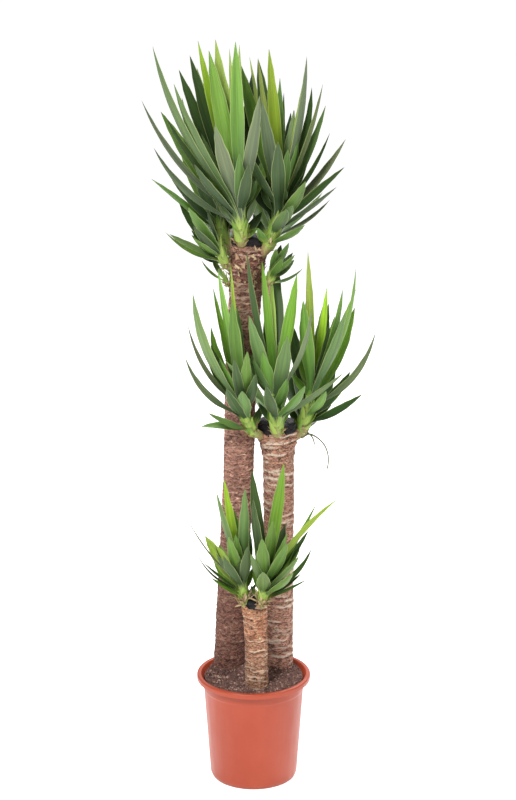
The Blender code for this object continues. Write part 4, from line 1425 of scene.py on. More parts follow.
@dataclass
class WaxCoat:
    """Wax brushed over the sawn end of a cane."""

    cane: Cane
    sides: int = 110
    rows: int = 56
    overhang: float = 0.0032
    out_lumps: tuple[float, float] = (0.0013, 0.0008)
    up_lumps: tuple[float, float] = (0.0016, 0.001)
    drip: float = 0.0045

    def build(self, wax: bpy.types.Material) -> None:
        """Make the coat.

        Args:
            wax: the wax material.
        """
        x, y, top, radius = self.cane.line[-1]
        outer = radius - SAWN_STEP + self.overhang
        high = self.cane.reach + 0.0003
        profile = [
            (outer - 0.003, -0.001), (outer + 0.0012, -0.0022), (outer + 0.0016, 0.001),
            (outer + 0.0008, high * 0.4), (outer, high * 0.7), (outer - 0.0012, high - 0.002),
            (outer - 0.0035, high + 0.0006), (outer * 0.75, high + 0.0022), (outer * 0.5, high + 0.0032),
            (outer * 0.25, high + 0.0038), (0.0012, high + 0.0042),
        ]
        shares = np.linspace(0, len(profile) - 1, self.rows)
        reach, rise = (np.interp(shares, range(len(profile)), values)[:, None] for values in zip(*profile))
        reach, rise, angle = np.broadcast_arrays(reach, rise, round_angles(self.sides))
        lump = rough_field(angle, rise + reach * 0.3, 15, 0.0055, SEED + 9)
        fine = rough_field(angle, rise + reach * 0.3, 36, 0.0024, SEED + 10)
        drip = np.clip(rough_field(angle, rise * 0, 13, 1.0, SEED + 11) - 0.15, 0.0, 1.0)
        low = np.clip(1.0 - (rise + 0.002) / 0.006, 0.0, 1.0)
        from_middle = np.clip(reach / 0.02, 0.0, 1.0)
        out = reach + (lump * self.out_lumps[0] + fine * self.out_lumps[1]) * from_middle
        up = rise + (lump * self.up_lumps[0] + fine * self.up_lumps[1]) * (1.0 - low) - low * drip * self.drip
        points = turned(out, angle, top + up, (x, y)).reshape(-1, 3)
        coat = mesh_piece(f"wax_coat_{self.cane.key}", points, grid_faces(self.rows, self.sides))
        wear(coat, (f"wax_{self.cane.key}",), wax)


@dataclass
class Husks:
    """Papery remains of old leaves round the feet of a cane's shoots and on its swollen top."""

    cane: Cane
    on_bark: int
    at_feet: int
    length: tuple[float, float]
    paleness: tuple[float, float]
    hanging: dict[str, int] = field(default_factory=dict)
    width: tuple[float, float] = (0.002, 0.0056)
    thickness: float = 0.0003
    below_top: float = 0.006
    spread: float = 0.095
    stations: int = 6

    def scrap(self, foot: np.ndarray, way: np.ndarray, out: np.ndarray, rng: random.Random) -> np.ndarray:
        """One curled scrap: two sheets of points that meet at the margins.

        Args:
            foot: where it is attached.
            way: which way it grows.
            out: which way its face looks.
            rng: the cane's draw.
        Returns:
            Its points.
        """
        side = np.cross(way, out)
        side /= np.linalg.norm(side)
        length, width = rng.uniform(*self.length), rng.uniform(*self.width)
        curl, twist = rng.uniform(-0.5, 0.7), rng.uniform(-0.6, 0.6)
        points = []
        for sheet in (1.0, -1.0):
            for step in range(self.stations):
                share = step / (self.stations - 1)
                place = foot + way * (length * share) + out * (length * curl * share * share)
                across = side * math.cos(twist * share) + out * math.sin(twist * share)
                half = width * (1.0 - share) ** 0.7 + 0.0001
                for u in (-1.0, 0.0, 1.0):
                    thick = self.thickness * sheet * (1.0 - abs(u))
                    points.append(place + across * (half * u) + out * (thick + abs(u) * half * 0.35))
        return np.array(points)

    def build(self, husk: bpy.types.Material) -> None:
        """Make all scraps of the cane.

        Args:
            husk: the husk material.
        """
        rng = random.Random(f"husks{SEED}{self.cane.key}")
        shell = two_sheets(self.stations, 3)
        scraps: list[Patch] = []
        for foot, way, out in self.on_cane(rng) + self.round_shoots(rng):
            points = self.scrap(foot, way, out, rng)
            scraps.append((points, shell, {"husk_tone": np.full(len(points), rng.uniform(*self.paleness))}))
        wear(mesh_piece(f"husks_{self.cane.key}", *joined(scraps)), (), husk)

    def on_cane(self, rng: random.Random) -> list[Spot]:
        """Places on the swollen top of the cane.

        Args:
            rng: the cane's draw.
        Returns:
            The foot, the way on and the way outward of each scrap.
        """
        found = []
        for _ in range(self.on_bark):
            height = self.cane.top - self.spread * rng.random() ** 1.4 - self.below_top
            angle = rng.uniform(0.0, math.tau)
            x, y, radius = (float(v) for v in self.cane.centre(np.array(height)))
            out = np.array([math.cos(angle), math.sin(angle), 0.0])
            lean = rng.uniform(-0.35, 0.65)
            way = np.array([0.0, 0.0, math.cos(lean)]) + out * math.sin(lean)
            across = np.cross(out, (0.0, 0.0, 1.0)) * rng.uniform(-0.8, 0.8)
            way = (way + across) / np.linalg.norm(way + across)
            found.append((np.array([x, y, height]) + out * (radius - 0.0003), way, out))
        return found

    def round_shoots(self, rng: random.Random) -> list[Spot]:
        """Places at the shoots' feet, where scraps stand or hang.

        Args:
            rng: the cane's draw.
        Returns:
            The foot, the way on and the way outward of each scrap.
        """
        found = []
        for shoot in (shoot for shoot in SHOOTS if shoot.cane == self.cane.key):
            line = StemLine(shoot)
            for _ in range(self.at_feet):
                centre, grow, radius = line.at(line.rises[2] + rng.uniform(-0.004, 0.01))
                out = Vector((rng.uniform(-1, 1), rng.uniform(-1, 0.6), rng.uniform(-0.3, 0.3)))
                out = (out - grow * out.dot(grow)).normalized()
                way = (grow * rng.uniform(0.3, 1.0) + out * rng.uniform(0.1, 0.8)).normalized()
                found.append((np.array(centre + out * radius * 0.96), np.array(way), np.array(out)))
            for _ in range(self.hanging.get(shoot.name, 0)):
                centre, _, radius = line.at(line.rises[2] + rng.uniform(-0.004, 0.004))
                out = Vector((rng.uniform(-0.2, 0.8), -1.0, 0.0)).normalized()
                way = Vector((rng.uniform(-0.1, 0.5), rng.uniform(-0.3, 0.0), -rng.uniform(1.6, 3.4)))
                found.append((np.array(centre + out * radius), np.array(way), np.array(out)))
        return found


# Where the leaves go: the same rules as the solids follow

def outline(share: float) -> float:
    """Width of a blade against its full width.

    Args:
        share: where along the blade.
    Returns:
        The width there, 1 at the widest.
    """
    for (low, wide), (high, next_wide) in zip(BLADE_OUTLINE, BLADE_OUTLINE[1:]):
        if share <= high:
            t = (share - low) / (high - low)
            t = t * t * (3.0 - 2.0 * t)
            return wide + (next_wide - wide) * t
    return BLADE_OUTLINE[-1][1]


def seen_place(neck: Vector, across: float, rise: float, nearer: float) -> Vector:
    """Find the place on a line of sight.

    Args:
        neck: the shoot's neck.
        across: millimetres to the right of it in the photo.
        rise: millimetres above it in the photo.
        nearer: millimetres nearer than the neck.
    Returns:
        The place in the row frame.
    """
    plate = neck + Vector((across * MM, 0.0, 0.0)) + EYE_UP * (rise * MM)
    sight = plate - EYE
    return plate + sight * ((neck.y - nearer * MM - plate.y) / sight.y)


def round_frame(way: Vector) -> tuple[Vector, Vector]:
    """The ways to the side and to the front of a stem that goes the given way."""
    side = way.cross(Vector((0.0, -1.0, 0.0))).normalized()
    return side, side.cross(way)


@dataclass
class Blade:
    """One leaf blade: its ends, width, sag and turn."""

    base: Vector
    tip: Vector
    width: float
    sag: float
    turn: float
    tone: Tone

    def spine(self) -> tuple[Vector, Vector, Vector, Vector, Vector, Vector]:
        """Lay the blade's curve.

        Returns:
            The four points of the curve, the way across it and the way it lifts.
        """
        chord = self.tip - self.base
        length = chord.length
        flat = Vector((chord.x, chord.y, 0.0))
        if flat.length < 0.004:
            flat = Vector((0.0, -1.0, 0.0))
        across = UP.cross(flat.normalized())
        lift = across.cross(chord.normalized())
        if lift.z < 0.0:
            lift = -lift
        pull = lift * (-self.sag * length / 0.75)
        first, second = (self.base + chord * share + pull for share in (0.33, 0.67))
        return self.base, first, second, self.tip, across, lift

    def coarse(self, stations: tuple[float, ...], swell: float = 0.0, start: float = 0.0) -> Shape:
        """The blade as the solids have it.

        Args:
            stations: shares of the length that get points.
            swell: how much bigger it is all round.
            start: the first share that is used.
        Returns:
            Points and faces.
        """
        base, first, second, tip, across, lift = self.spine()
        vertices, faces = [], []
        used = [share for share in stations if share >= start]
        for share in used:
            rest = 1.0 - share
            place = base * rest ** 3 + first * (3 * rest * rest * share)
            place += second * (3 * rest * share * share) + tip * share ** 3
            along = (first - base) * (rest * rest) + (second - first) * (2 * rest * share)
            along = (along + (tip - second) * (share * share)).normalized()
            if share >= 1.0:
                vertices.append(place + along * swell)
                continue
            ease = min(1.0, share / 0.4)
            angle = math.radians(self.turn) * ease * ease * (3.0 - 2.0 * ease)
            over = along.cross(across).normalized()
            if over.dot(lift) < 0.0:
                over = -over
            side = across * math.cos(angle) + over * math.sin(angle)
            over = over * math.cos(angle) - across * math.sin(angle)
            half = self.width * 0.5 * outline(share) + swell
            fold = (0.34 - 0.24 * min(1.0, share * 2.0)) * half
            thick = BLADE_THICKNESS * (1.0 - 0.45 * share) * 0.5 + swell
            vertices += [
                place - side * half + over * fold, place + over * thick,
                place + side * half + over * fold, place - over * thick,
            ]
        rows = len(used) - 1
        for row in range(rows - 1):
            a = row * 4
            b = a + 4
            faces += [
                (a, a + 1, b + 1), (a, b + 1, b), (a + 1, a + 2, b + 2), (a + 1, b + 2, b + 1),
                (a + 2, a + 3, b + 2), (a + 3, b + 3, b + 2), (a + 3, a, b), (a + 3, b, b + 3),
            ]
        a = (rows - 1) * 4
        end = a + 4
        faces += [(a, a + 1, end), (a + 1, a + 2, end), (a + 2, a + 3, end), (a + 3, a, end)]
        faces += [(1, 0, 3), (2, 1, 3)]
        return vertices, faces


class StemLine:
    """A shoot's stem as a line from its root in the cane to the tip of its crown."""

    def __init__(self, shoot: ShootPlan) -> None:
        """Lay the line.

        Args:
            shoot: the shoot's plan.
        """
        self.shoot = shoot
        self.before, self.neck = (Vector(place) for place in shoot.stem[-2:])
        self.grow = ((self.neck - self.before).normalized() + UP).normalized()
        places = [Vector(place) for place in shoot.stem]
        self.places = places + [
            self.neck + self.grow * shoot.crown * 0.6, self.neck + self.grow * (shoot.crown + 0.01)
        ]
        self.radii = [shoot.radius * share for share in STEM_TAPER]
        steps = [(b - a).length for a, b in zip(self.places, self.places[1:])]
        self.rises = [sum(steps[:k]) - sum(steps[:3]) for k in range(len(self.places))]

    def leaf_foot(self, chord: Vector) -> tuple[Vector, float, Vector]:
        """Where a leaf leaves the stem: the steeper the leaf, the higher up the crown.

        Args:
            chord: from the neck to the leaf's tip.
        Returns:
            The foot of the leaf, its rise above the neck and the way outward.
        """
        steep = math.degrees(math.atan2(chord.z, math.hypot(chord.x, chord.y)))
        share = min(1.0, max(0.0, (steep - 5.0) / 75.0)) ** 1.3
        low = -min(self.shoot.radius * 3.3, (self.neck - self.before).length)
        height = low + (self.shoot.crown - low) * share
        place = self.neck + self.grow * height
        if height < 0.0:
            place = self.neck + (self.neck - self.before).normalized() * height
        outward = Vector((chord.x, chord.y, 0.0))
        outward = outward.normalized() if outward.length > 0.001 else Vector((0.0, 0.0, 0.0))
        return place + outward * (self.shoot.radius * 0.28 * (1.0 - 0.6 * share)), height, outward

    def at(self, rise: float) -> tuple[Vector, Vector, float]:
        """Read the stem.

        Args:
            rise: metres above the neck along the stem.
        Returns:
            The centre, the way the stem grows there, and its radius.
        """
        rise = min(max(rise, self.rises[0]), self.rises[-1])
        k = next(k for k, end in enumerate(self.rises[1:]) if rise <= end)
        share = (rise - self.rises[k]) / (self.rises[k + 1] - self.rises[k])
        way = (self.places[k + 1] - self.places[k]).normalized()
        place = self.places[k].lerp(self.places[k + 1], share)
        return place, way, self.radii[k] + (self.radii[k + 1] - self.radii[k]) * share

    def coarse(self) -> Shape:
        """The stem as the solids have it.

        Returns:
            Points and faces.
        """
        vertices, faces = [], []
        for index, place in enumerate(self.places):
            before = self.places[max(index - 1, 0)]
            after = self.places[min(index + 1, len(self.places) - 1)]
            along = (after - before).normalized()
            side, front = round_frame(along)
            for step in range(STEM_SIDES):
                angle = math.tau * step / STEM_SIDES
                reach = self.radii[index]
                vertices.append(place + side * (math.cos(angle) * reach) + front * (math.sin(angle) * reach))
        for index in range(len(self.places) - 1):
            for step in range(STEM_SIDES):
                a = index * STEM_SIDES + step
                b = index * STEM_SIDES + (step + 1) % STEM_SIDES
                faces.append((a, b, b + STEM_SIDES))
                faces.append((a, b + STEM_SIDES, a + STEM_SIDES))
        faces.append(tuple(reversed(range(STEM_SIDES))))
        faces.append(tuple((len(self.places) - 1) * STEM_SIDES + step for step in range(STEM_SIDES)))
        return vertices, faces


def reading(row: tuple[float, ...]) -> tuple[Any, ...]:
    """One leaf's numbers, with no turn where none was read."""
    return (*row[:5], row[5] if len(row) > 5 else None)


def lean_turn(base: Vector, tip: Vector) -> float:
    """How far a leaf turns to show more of the face that is seen, by its lean to one side.

    Args:
        base: where the leaf starts.
        tip: where it ends.
    Returns:
        The turn in degrees.
    """
    chord = (tip - base).normalized()
    across = UP.cross(Vector((chord.x, chord.y, 0.0)).normalized())
    over = across.cross(chord)
    if over.z < 0.0:
        over = -over
    sight = EYE - base.lerp(tip, 0.6)
    sign = -1.0 if over.dot(sight) * across.dot(sight) > 0.0 else 1.0
    return sign * LEAN_TURN * abs(chord.x)


def far_rows(shoot: ShootPlan, rng: random.Random) -> list[tuple[float, ...]]:
    """Leaves of the far side, each behind one that is seen and a little shorter.

    Args:
        shoot: the shoot's plan.
        rng: the draw that all shoots share.
    Returns:
        The leaves' numbers.
    """
    seen = [reading(row) for row in shoot.leaves if row[1] > 60 and row[3] > 20]
    rows = []
    for index in range(shoot.far):
        across, rise, nearer, width, sag, _ = seen[(index * 5) % len(seen)]
        share = rng.uniform(0.7, 0.88)
        rows.append((
            across * share * rng.uniform(0.7, 1.0), rise * share, -abs(nearer) - rng.uniform(50.0, 130.0),
            max(26.0, width * 0.95), sag + rng.uniform(0.01, 0.04), rng.uniform(-15.0, 15.0),
        ))
    return rows


def inner_rows(shoot: ShootPlan, rng: random.Random) -> list[tuple[float, ...]]:
    """Shorter leaves that fill a shoot between those of the solids.

    Args:
        shoot: the shoot's plan.
        rng: the draw for these leaves.
    Returns:
        The leaves' numbers.
    """
    seen = [reading(row) for row in shoot.leaves if row[1] > 40 and row[3] > 15]
    rows = []
    for _ in range(INNER_LEAVES[shoot.name]):
        one, other = rng.sample(seen, 2)
        mix, share = rng.uniform(0.25, 0.75), rng.uniform(0.55, 0.86)
        across, rise, nearer = (one[k] + (other[k] - one[k]) * mix for k in range(3))
        rows.append((
            across * share, rise * share, nearer * share + rng.uniform(-50.0, 30.0),
            rng.uniform(22.0, 32.0), rng.uniform(0.02, 0.05), None,
        ))
    return rows


def as_tree(shapes: list[Shape]) -> BVHTree | None:
    """A search tree over several shapes.

    Args:
        shapes: points and faces of each.
    Returns:
        The tree, or None if there is nothing in it.
    """
    vertices, faces = [], []
    for points, polygons in shapes:
        offset = len(vertices)
        vertices += points
        faces += [tuple(offset + i for i in polygon) for polygon in polygons]
    return BVHTree.FromPolygons(vertices, faces) if faces else None


class Thicket:
    """Places the blades of every shoot one after another, each clear of the other shoots."""

    # A leaf is shortened by these shares in turn, and its free part is swollen a little for the search
    SHRINKS = (1.0, 0.86, 0.72)
    FREE_SWELL = 0.0002

    def __init__(self, solids: list[bpy.types.Object]) -> None:
        """Start with bare stems.

        Args:
            solids: what the blades keep clear of.
        """
        shapes = []
        for solid in solids:
            shapes.append((
                [vertex.co.copy() for vertex in solid.data.vertices],
                [tuple(polygon.vertices) for polygon in solid.data.polygons],
            ))
        self.solids = as_tree(shapes)
        self.lines = {shoot.name: StemLine(shoot) for shoot in SHOOTS}
        self.stems = {name: line.coarse() for name, line in self.lines.items()}
        self.kept: dict[str, list[Blade]] = {shoot.name: [] for shoot in SHOOTS}
        self.shapes: dict[str, list[Shape]] = {shoot.name: [] for shoot in SHOOTS}
        self.tips: dict[str, list[Shape]] = {shoot.name: [] for shoot in SHOOTS}
        self.changes = self.tries()

    @staticmethod
    def tries() -> list[tuple[float, float, float]]:
        """Small changes to a leaf's numbers, the nearest first.

        Returns:
            Millimetres across, up and nearer of each change.
        """
        changes = [(0.0, 0.0, 0.0)]
        for nearer in range(8, 129, 8):
            changes += [(0.0, 0.0, float(nearer)), (0.0, 0.0, -float(nearer))]
        for across, rise in ((6, 0), (-6, 0), (0, -8), (9, -6), (-9, -6), (14, 0), (-14, 0)):
            for nearer in range(0, 121, 12):
                changes += [(float(across), float(rise), sign * float(nearer)) for sign in (1, -1)]
        return sorted(changes, key=lambda change: Thicket.effort(*change))

    @staticmethod
    def effort(across: float, rise: float, nearer: float) -> float:
        """How far a change shows: three times as much across and up as in depth."""
        return abs(nearer) + 3.0 * (abs(across) + abs(rise))

    def grow(self) -> None:
        """Place every leaf of every shoot."""
        rng = random.Random(SEED)
        for shoot in SHOOTS:
            for row, letter in zip(shoot.leaves, shoot.tones, strict=True):
                self.add(shoot, reading(row), Tone(letter))
        fillers = (
            (lambda shoot: far_rows(shoot, rng), FAR_TONES),
            (lambda shoot: [reading(row) for row in GAP_LEAVES.get(shoot.name, ())], GAP_TONES),
            (lambda shoot: inner_rows(shoot, rng), INNER_TONES),
        )
        for rows_of, letters in fillers:
            for shoot in SHOOTS:
                for row, letter in zip(rows_of(shoot), itertools.cycle(letters)):
                    self.add(shoot, row, Tone(letter))

    def add(self, shoot: ShootPlan, row: tuple[float, ...], tone: Tone) -> None:
        """Bend one leaf clear and keep it.

        Args:
            shoot: the shoot it grows on.
            row: its numbers.
            tone: its green.
        """
        line = self.lines[shoot.name]
        names = [other.name for other in SHOOTS if other is not shoot]
        others = [as_tree([self.stems[name]] + self.shapes[name]) for name in names]
        own = as_tree(self.tips[shoot.name])
        across, rise, nearer, width, sag, given = row
        spare = None
        for shrink in self.SHRINKS:
            for shift, lift, closer in self.changes:
                seen = ((across + shift) * shrink, (rise + lift) * shrink, (nearer + closer) * shrink)
                tip = seen_place(line.neck, *seen)
                base = line.leaf_foot(tip - line.neck)[0]
                turn = lean_turn(base, tip) if given is None else given
                blade = Blade(base, tip, width * MM, sag, turn, tone)
                stations = BLADE_STATIONS if (tip - blade.base).length > SHORT_BLADE else SHORT_BLADE_STATIONS
                tree = BVHTree.FromPolygons(*blade.coarse(stations, CLEARANCE))
                if not tree.overlap(self.solids) and not any(tree.overlap(other) for other in others):
                    free = BVHTree.FromPolygons(*blade.coarse(stations, self.FREE_SWELL, stations[1]))
                    if not (own and free.overlap(own)):
                        self.keep(shoot, blade, stations)
                        return
                    if spare is None:
                        spare = (blade, stations)
                if spare and self.effort(shift, lift, closer) > FREE_REACH:
                    break
            if spare:
                break
        if spare:
            self.keep(shoot, *spare)

    def keep(self, shoot: ShootPlan, blade: Blade, stations: tuple[float, ...]) -> None:
        """Store a blade.

        Args:
            shoot: the shoot it grows on.
            blade: the blade.
            stations: the shares of its length that the solid has points at.
        """
        self.kept[shoot.name].append(blade)
        self.shapes[shoot.name].append(blade.coarse(stations))
        self.tips[shoot.name].append(blade.coarse(stations, 0.0, stations[1]))


# Shoots, in full

def leaf_marks(
    across: np.ndarray, rise: np.ndarray, along: np.ndarray, seed: float, green: np.ndarray
) -> dict[str, np.ndarray]:
    """What the leaf finish reads at each point of both sheets of a leaf.

    Args:
        across: where each column is, from -1 to 1.
        rise: metres from the leaf's foot at each row.
        along: share of the leaf's length at each row.
        seed: the leaf's own number.
        green: its colour.
    Returns:
        The facts for mesh_piece.
    """
    rows, columns = len(along), len(across)
    total = 2 * rows * columns
    return {
        "leaf_across": np.tile(across, 2 * rows),
        "leaf_rise": np.tile(np.repeat(rise, columns), 2),
        "leaf_share": np.tile(np.repeat(along, columns), 2),
        "leaf_below": np.repeat([0.0, 1.0], rows * columns),
        "leaf_seed": np.full(total, seed),
        "leaf_tint": np.tile([*green, 1.0], (total, 1)),
    }


@dataclass
class Shoot:
    """A leafy shoot: a ringed stem and leaves that clasp it."""

    plan: ShootPlan
    line: StemLine
    blades: list[Blade]
    slim: float
    root_share: float = 0.17
    bare: float = 0.002
    wrap: float = 1.15
    root_rows: int = 11
    blade_rows: int = 18
    tip_rows: tuple[float, ...] = (0.935, 0.965, 0.985, 1.0)
    columns: tuple[float, ...] = (-1.0, -0.84, -0.6, -0.31, 0.0, 0.31, 0.6, 0.84, 1.0)
    sheaths: int = 18
    sheath_rows: int = 9
    sheath_columns: int = 7
    stem_rows: int = 64
    stem_sides: int = 28
    ring_pitch: float = 0.0042
    ring_depth: float = 0.016
    sheath_length: tuple[float, float] = (1.7, 2.7)
    sheath_wrap: tuple[float, float] = (0.55, 0.95)
    sheath_flare: tuple[float, float] = (0.18, 0.48)
    sheath_thickness: float = 0.0003
    thickness: tuple[tuple[float, ...], tuple[float, ...]] = ((0.0, 0.3, 1.0), (0.00085, 0.0005, 0.00022))
    fold: float = 0.36
    fold_lost: float = 0.14
    thread_half: float = 0.0016
    thread_thickness: float = 0.0009

    @property
    def climb(self) -> np.ndarray:
        """Shares of the root's length, a row each."""
        return np.linspace(0.0, 1.0, self.root_rows, endpoint=False)

    def build(self, leaf: bpy.types.Material, stem: bpy.types.Material) -> None:
        """Make the stem, then all the leaves as one piece.

        Args:
            leaf: the leaf material.
            stem: the stem material.
        """
        self.grow_stem(stem)
        rng = random.Random(f"{SEED}{self.plan.name}")
        parts = [self.leaf(blade, rng) for blade in self.blades]
        parts += [self.sheath(index / (self.sheaths - 1), rng) for index in range(self.sheaths)]
        wear(mesh_piece(f"leaves_{self.plan.name}", *joined(parts)), (self.plan.name,), leaf)

    def grow_stem(self, material: bpy.types.Material) -> None:
        """Make the stem under the leaves.

        Args:
            material: the stem material.
        """
        levels = np.linspace(self.line.rises[0], self.line.rises[-1], self.stem_rows)
        points, rises, rings = [], [], []
        for index, level in enumerate(levels):
            place, way, radius = self.line.at(float(level))
            if 0 < index < len(levels) - 1:
                ahead, back = (self.line.at(float(levels[index + step]))[0] for step in (1, -1))
                way = (ahead - back).normalized()
            side, front = round_frame(way)
            share = (level - levels[0]) / (levels[-1] - levels[0])
            slim = 1.0 - 0.16 * min(1.0, max(0.0, (share - 0.3) / 0.2))
            ring = math.cos(level / self.ring_pitch * math.tau)
            for step in range(self.stem_sides):
                angle = math.tau * step / self.stem_sides
                wave = ring + 0.5 * math.sin(angle * 2 + level * 900)
                reach = radius * slim * (1.0 + self.ring_depth * wave)
                points.append(place + side * (math.cos(angle) * reach) + front * (math.sin(angle) * reach))
                rises.append(share)
                rings.append(0.5 + 0.5 * ring)
        facts = {"stem_rise": np.array(rises), "stem_ring": np.array(rings)}
        faces = grid_faces(len(levels), self.stem_sides)
        piece = mesh_piece(f"stem_{self.plan.name}", np.array(points), faces, facts)
        wear(piece, (self.plan.name,), material)

    def sheath(self, level: float, rng: random.Random) -> Patch:
        """Make one pointed leaf foot that hugs the stem.

        Args:
            level: how far up the bare stem it starts, from 0 to 1.
            rng: the shoot's draw.
        Returns:
            Points, faces and what the material reads at each point.
        """
        radius, bottom = self.plan.radius, self.line.rises[2]
        start = bottom - 0.003 + level * (self.plan.crown * 0.75 - bottom)
        length, wrap = radius * rng.uniform(*self.sheath_length), rng.uniform(*self.sheath_wrap)
        facing, slant = level * 38.0 + rng.uniform(-0.5, 0.5), rng.uniform(-0.5, 0.5)
        flare = rng.uniform(*self.sheath_flare)
        columns = np.linspace(-1.0, 1.0, self.sheath_columns)
        shares = np.linspace(0.0, 1.0, self.sheath_rows)
        sheets: list[list[Vector]] = [[], []]
        for share in shares.tolist():
            centre, way, reach = self.line.at(start + length * share)
            side, front = round_frame(way)
            half = wrap * (1.0 - share ** 1.7) + 0.02
            for across in columns.tolist():
                turn = facing + slant * share + across * half
                out = side * math.cos(turn) + front * math.sin(turn)
                away = max(reach, radius * 0.55) * 1.03 + 0.0005 + radius * flare * share ** 2
                away += 0.0007 * (1.0 - abs(across)) - 0.0003 * (1.0 - share)
                for sheet, thick in zip(sheets, (self.sheath_thickness, -self.sheath_thickness)):
                    sheet.append(centre + out * (away + thick * (1.0 - abs(across) ** 3)))
        tone = rng.choice((Tone.BRIGHT, Tone.LIGHT, Tone.MID))
        green = np.array(LEAF_COLOURS[tone]) * CANE_TINTS[self.plan.cane]
        marks = leaf_marks(columns, 0.005 + 0.026 * shares, 0.2 + 0.77 * shares, rng.random(), green)
        return np.array(sheets[0] + sheets[1]), two_sheets(self.sheath_rows, self.sheath_columns), marks

    def leaf(self, blade: Blade, rng: random.Random) -> Patch:
        """Make one leaf with its clasping root.

        Args:
            blade: where it goes.
            rng: the shoot's draw.
        Returns:
            Points, faces and what the material reads at each point.
        """
        thread = blade.tone is Tone.DRIED
        along, places, sides, overs, clasped = self.ribbon(blade)
        half = self.half_widths(blade, along, clasped)
        wavy = 1.0 + 0.02 * np.sin(along * rng.uniform(14.0, 26.0) + rng.uniform(0.0, 6.0))
        half = np.maximum(half * wavy, self.thread_half * (along < 1.0) if thread else 0.0)
        u = np.array(self.columns)
        curl = np.zeros(len(along))
        curl[:self.root_rows] = (1.0 - self.climb) ** 1.4 / clasped
        theta = np.maximum(np.abs(u * (half * curl)[:, None]), 1e-4)
        reach = half[:, None] * u * np.sin(theta) / theta
        rise = half[:, None] * np.abs(u) * (1.0 - np.cos(theta)) / theta
        fold = (self.fold - self.fold_lost * np.minimum(1.0, along * 2.0)) * half
        fold[:self.root_rows] *= self.climb ** 0.8
        channel = fold[:, None] * (np.abs(u) ** 1.25 - 0.3)
        thick = np.interp(along, *self.thickness) + (self.thread_thickness if thread else 0.0)
        thick = thick[:, None] * (1.0 - 0.86 * np.abs(u) ** 3)
        middle = places[:, None, :] + sides[:, None, :] * reach[..., None]
        lifts = (rise + channel + side * thick for side in (1.0, -1.0))
        sheets = [middle + overs[:, None, :] * lift[..., None] for lift in lifts]
        walked = np.concatenate([[0.0], np.cumsum(np.linalg.norm(np.diff(places, axis=0), axis=1))])
        shade = rng.uniform(0.86, 1.14)
        green = np.array(LEAF_COLOURS[blade.tone]) * CANE_TINTS[self.plan.cane] * shade
        green[0] *= rng.uniform(0.92, 1.1)
        marks = leaf_marks(u, walked + (0.1 if thread else 0.0), along, rng.random(), green)
        return np.concatenate(sheets).reshape(-1, 3), two_sheets(len(along), len(u)), marks

    def ribbon(self, blade: Blade) -> tuple[np.ndarray, np.ndarray, np.ndarray, np.ndarray, float]:
        """Lead the middle line of a leaf from the stem to the tip.

        Args:
            blade: where it goes.
        Returns:
            Share of the length, place, way across and way over the leaf at each row, and the radius that its
            root clasps.
        """
        *curve, across, lift = (np.array(v) for v in blade.spine())
        shares = np.concatenate([np.linspace(self.root_share, 0.9, self.blade_rows), self.tip_rows])
        places, ways = self.bezier(curve, shares)
        root_places, root_ways, clasped = self.root(blade, places[0], ways[0])
        places, ways = np.concatenate([root_places, places]), np.concatenate([root_ways, ways])
        ways /= np.linalg.norm(ways, axis=1, keepdims=True)
        overs = np.cross(ways, across)
        overs *= np.sign(overs[-8:].sum(axis=0) @ lift + 1e-9)
        overs /= np.linalg.norm(overs, axis=1, keepdims=True)
        along = np.concatenate([self.climb * self.root_share, shares])
        ease = np.minimum(1.0, along / 0.4)
        turn = (math.radians(blade.turn) * ease * ease * (3.0 - 2.0 * ease))[:, None]
        sides = across * np.cos(turn) + overs * np.sin(turn)
        return along, places, sides, overs * np.cos(turn) - across * np.sin(turn), clasped

    @staticmethod
    def bezier(curve: list[np.ndarray], shares: np.ndarray) -> tuple[np.ndarray, np.ndarray]:
        """Read a curve.

        Args:
            curve: its four points.
            shares: where along it.
        Returns:
            Places and ways on.
        """
        s = shares[:, None]
        r = 1.0 - s
        a, b, c, d = curve
        places = a * r ** 3 + b * (3 * r * r * s) + c * (3 * r * s * s) + d * s ** 3
        ways = (b - a) * (r * r) + (c - b) * (2 * r * s) + (d - c) * (s * s)
        return places, ways / np.linalg.norm(ways, axis=1, keepdims=True)

    def root(self, blade: Blade, joint: np.ndarray, way: np.ndarray) -> tuple[np.ndarray, np.ndarray, float]:
        """Lead a leaf up the stem and out to where its blade begins. A dried thread has no clasping root.

        Args:
            blade: the blade.
            joint: where the blade proper begins.
            way: which way it goes there.
        Returns:
            Places, ways on and the radius that the root clasps.
        """
        _, rise, outward = self.line.leaf_foot(blade.tip - self.line.neck)
        if outward.length < 0.5:
            outward = Vector((0.0, -1.0, 0.0))
        lowest = -min(self.plan.radius * 3.3, -self.line.rises[2])
        share = (rise - lowest) / (self.plan.crown - lowest)
        bare = self.line.rises[2] + self.bare
        foot = rise - 0.008 if blade.tone is Tone.DRIED else bare + share * (0.012 - bare)
        low, grow, radius = self.line.at(foot)
        outward = (outward - grow * outward.dot(grow)).normalized()
        clasped = radius * (1.04 - 0.22 * share) + 0.0006
        start = np.array(low + outward * clasped)
        gap = float(np.linalg.norm(joint - start))
        curve = [start, start + np.array(grow) * gap * 0.42, joint - way * gap * 0.38, joint]
        return *self.bezier(curve, self.climb), clasped

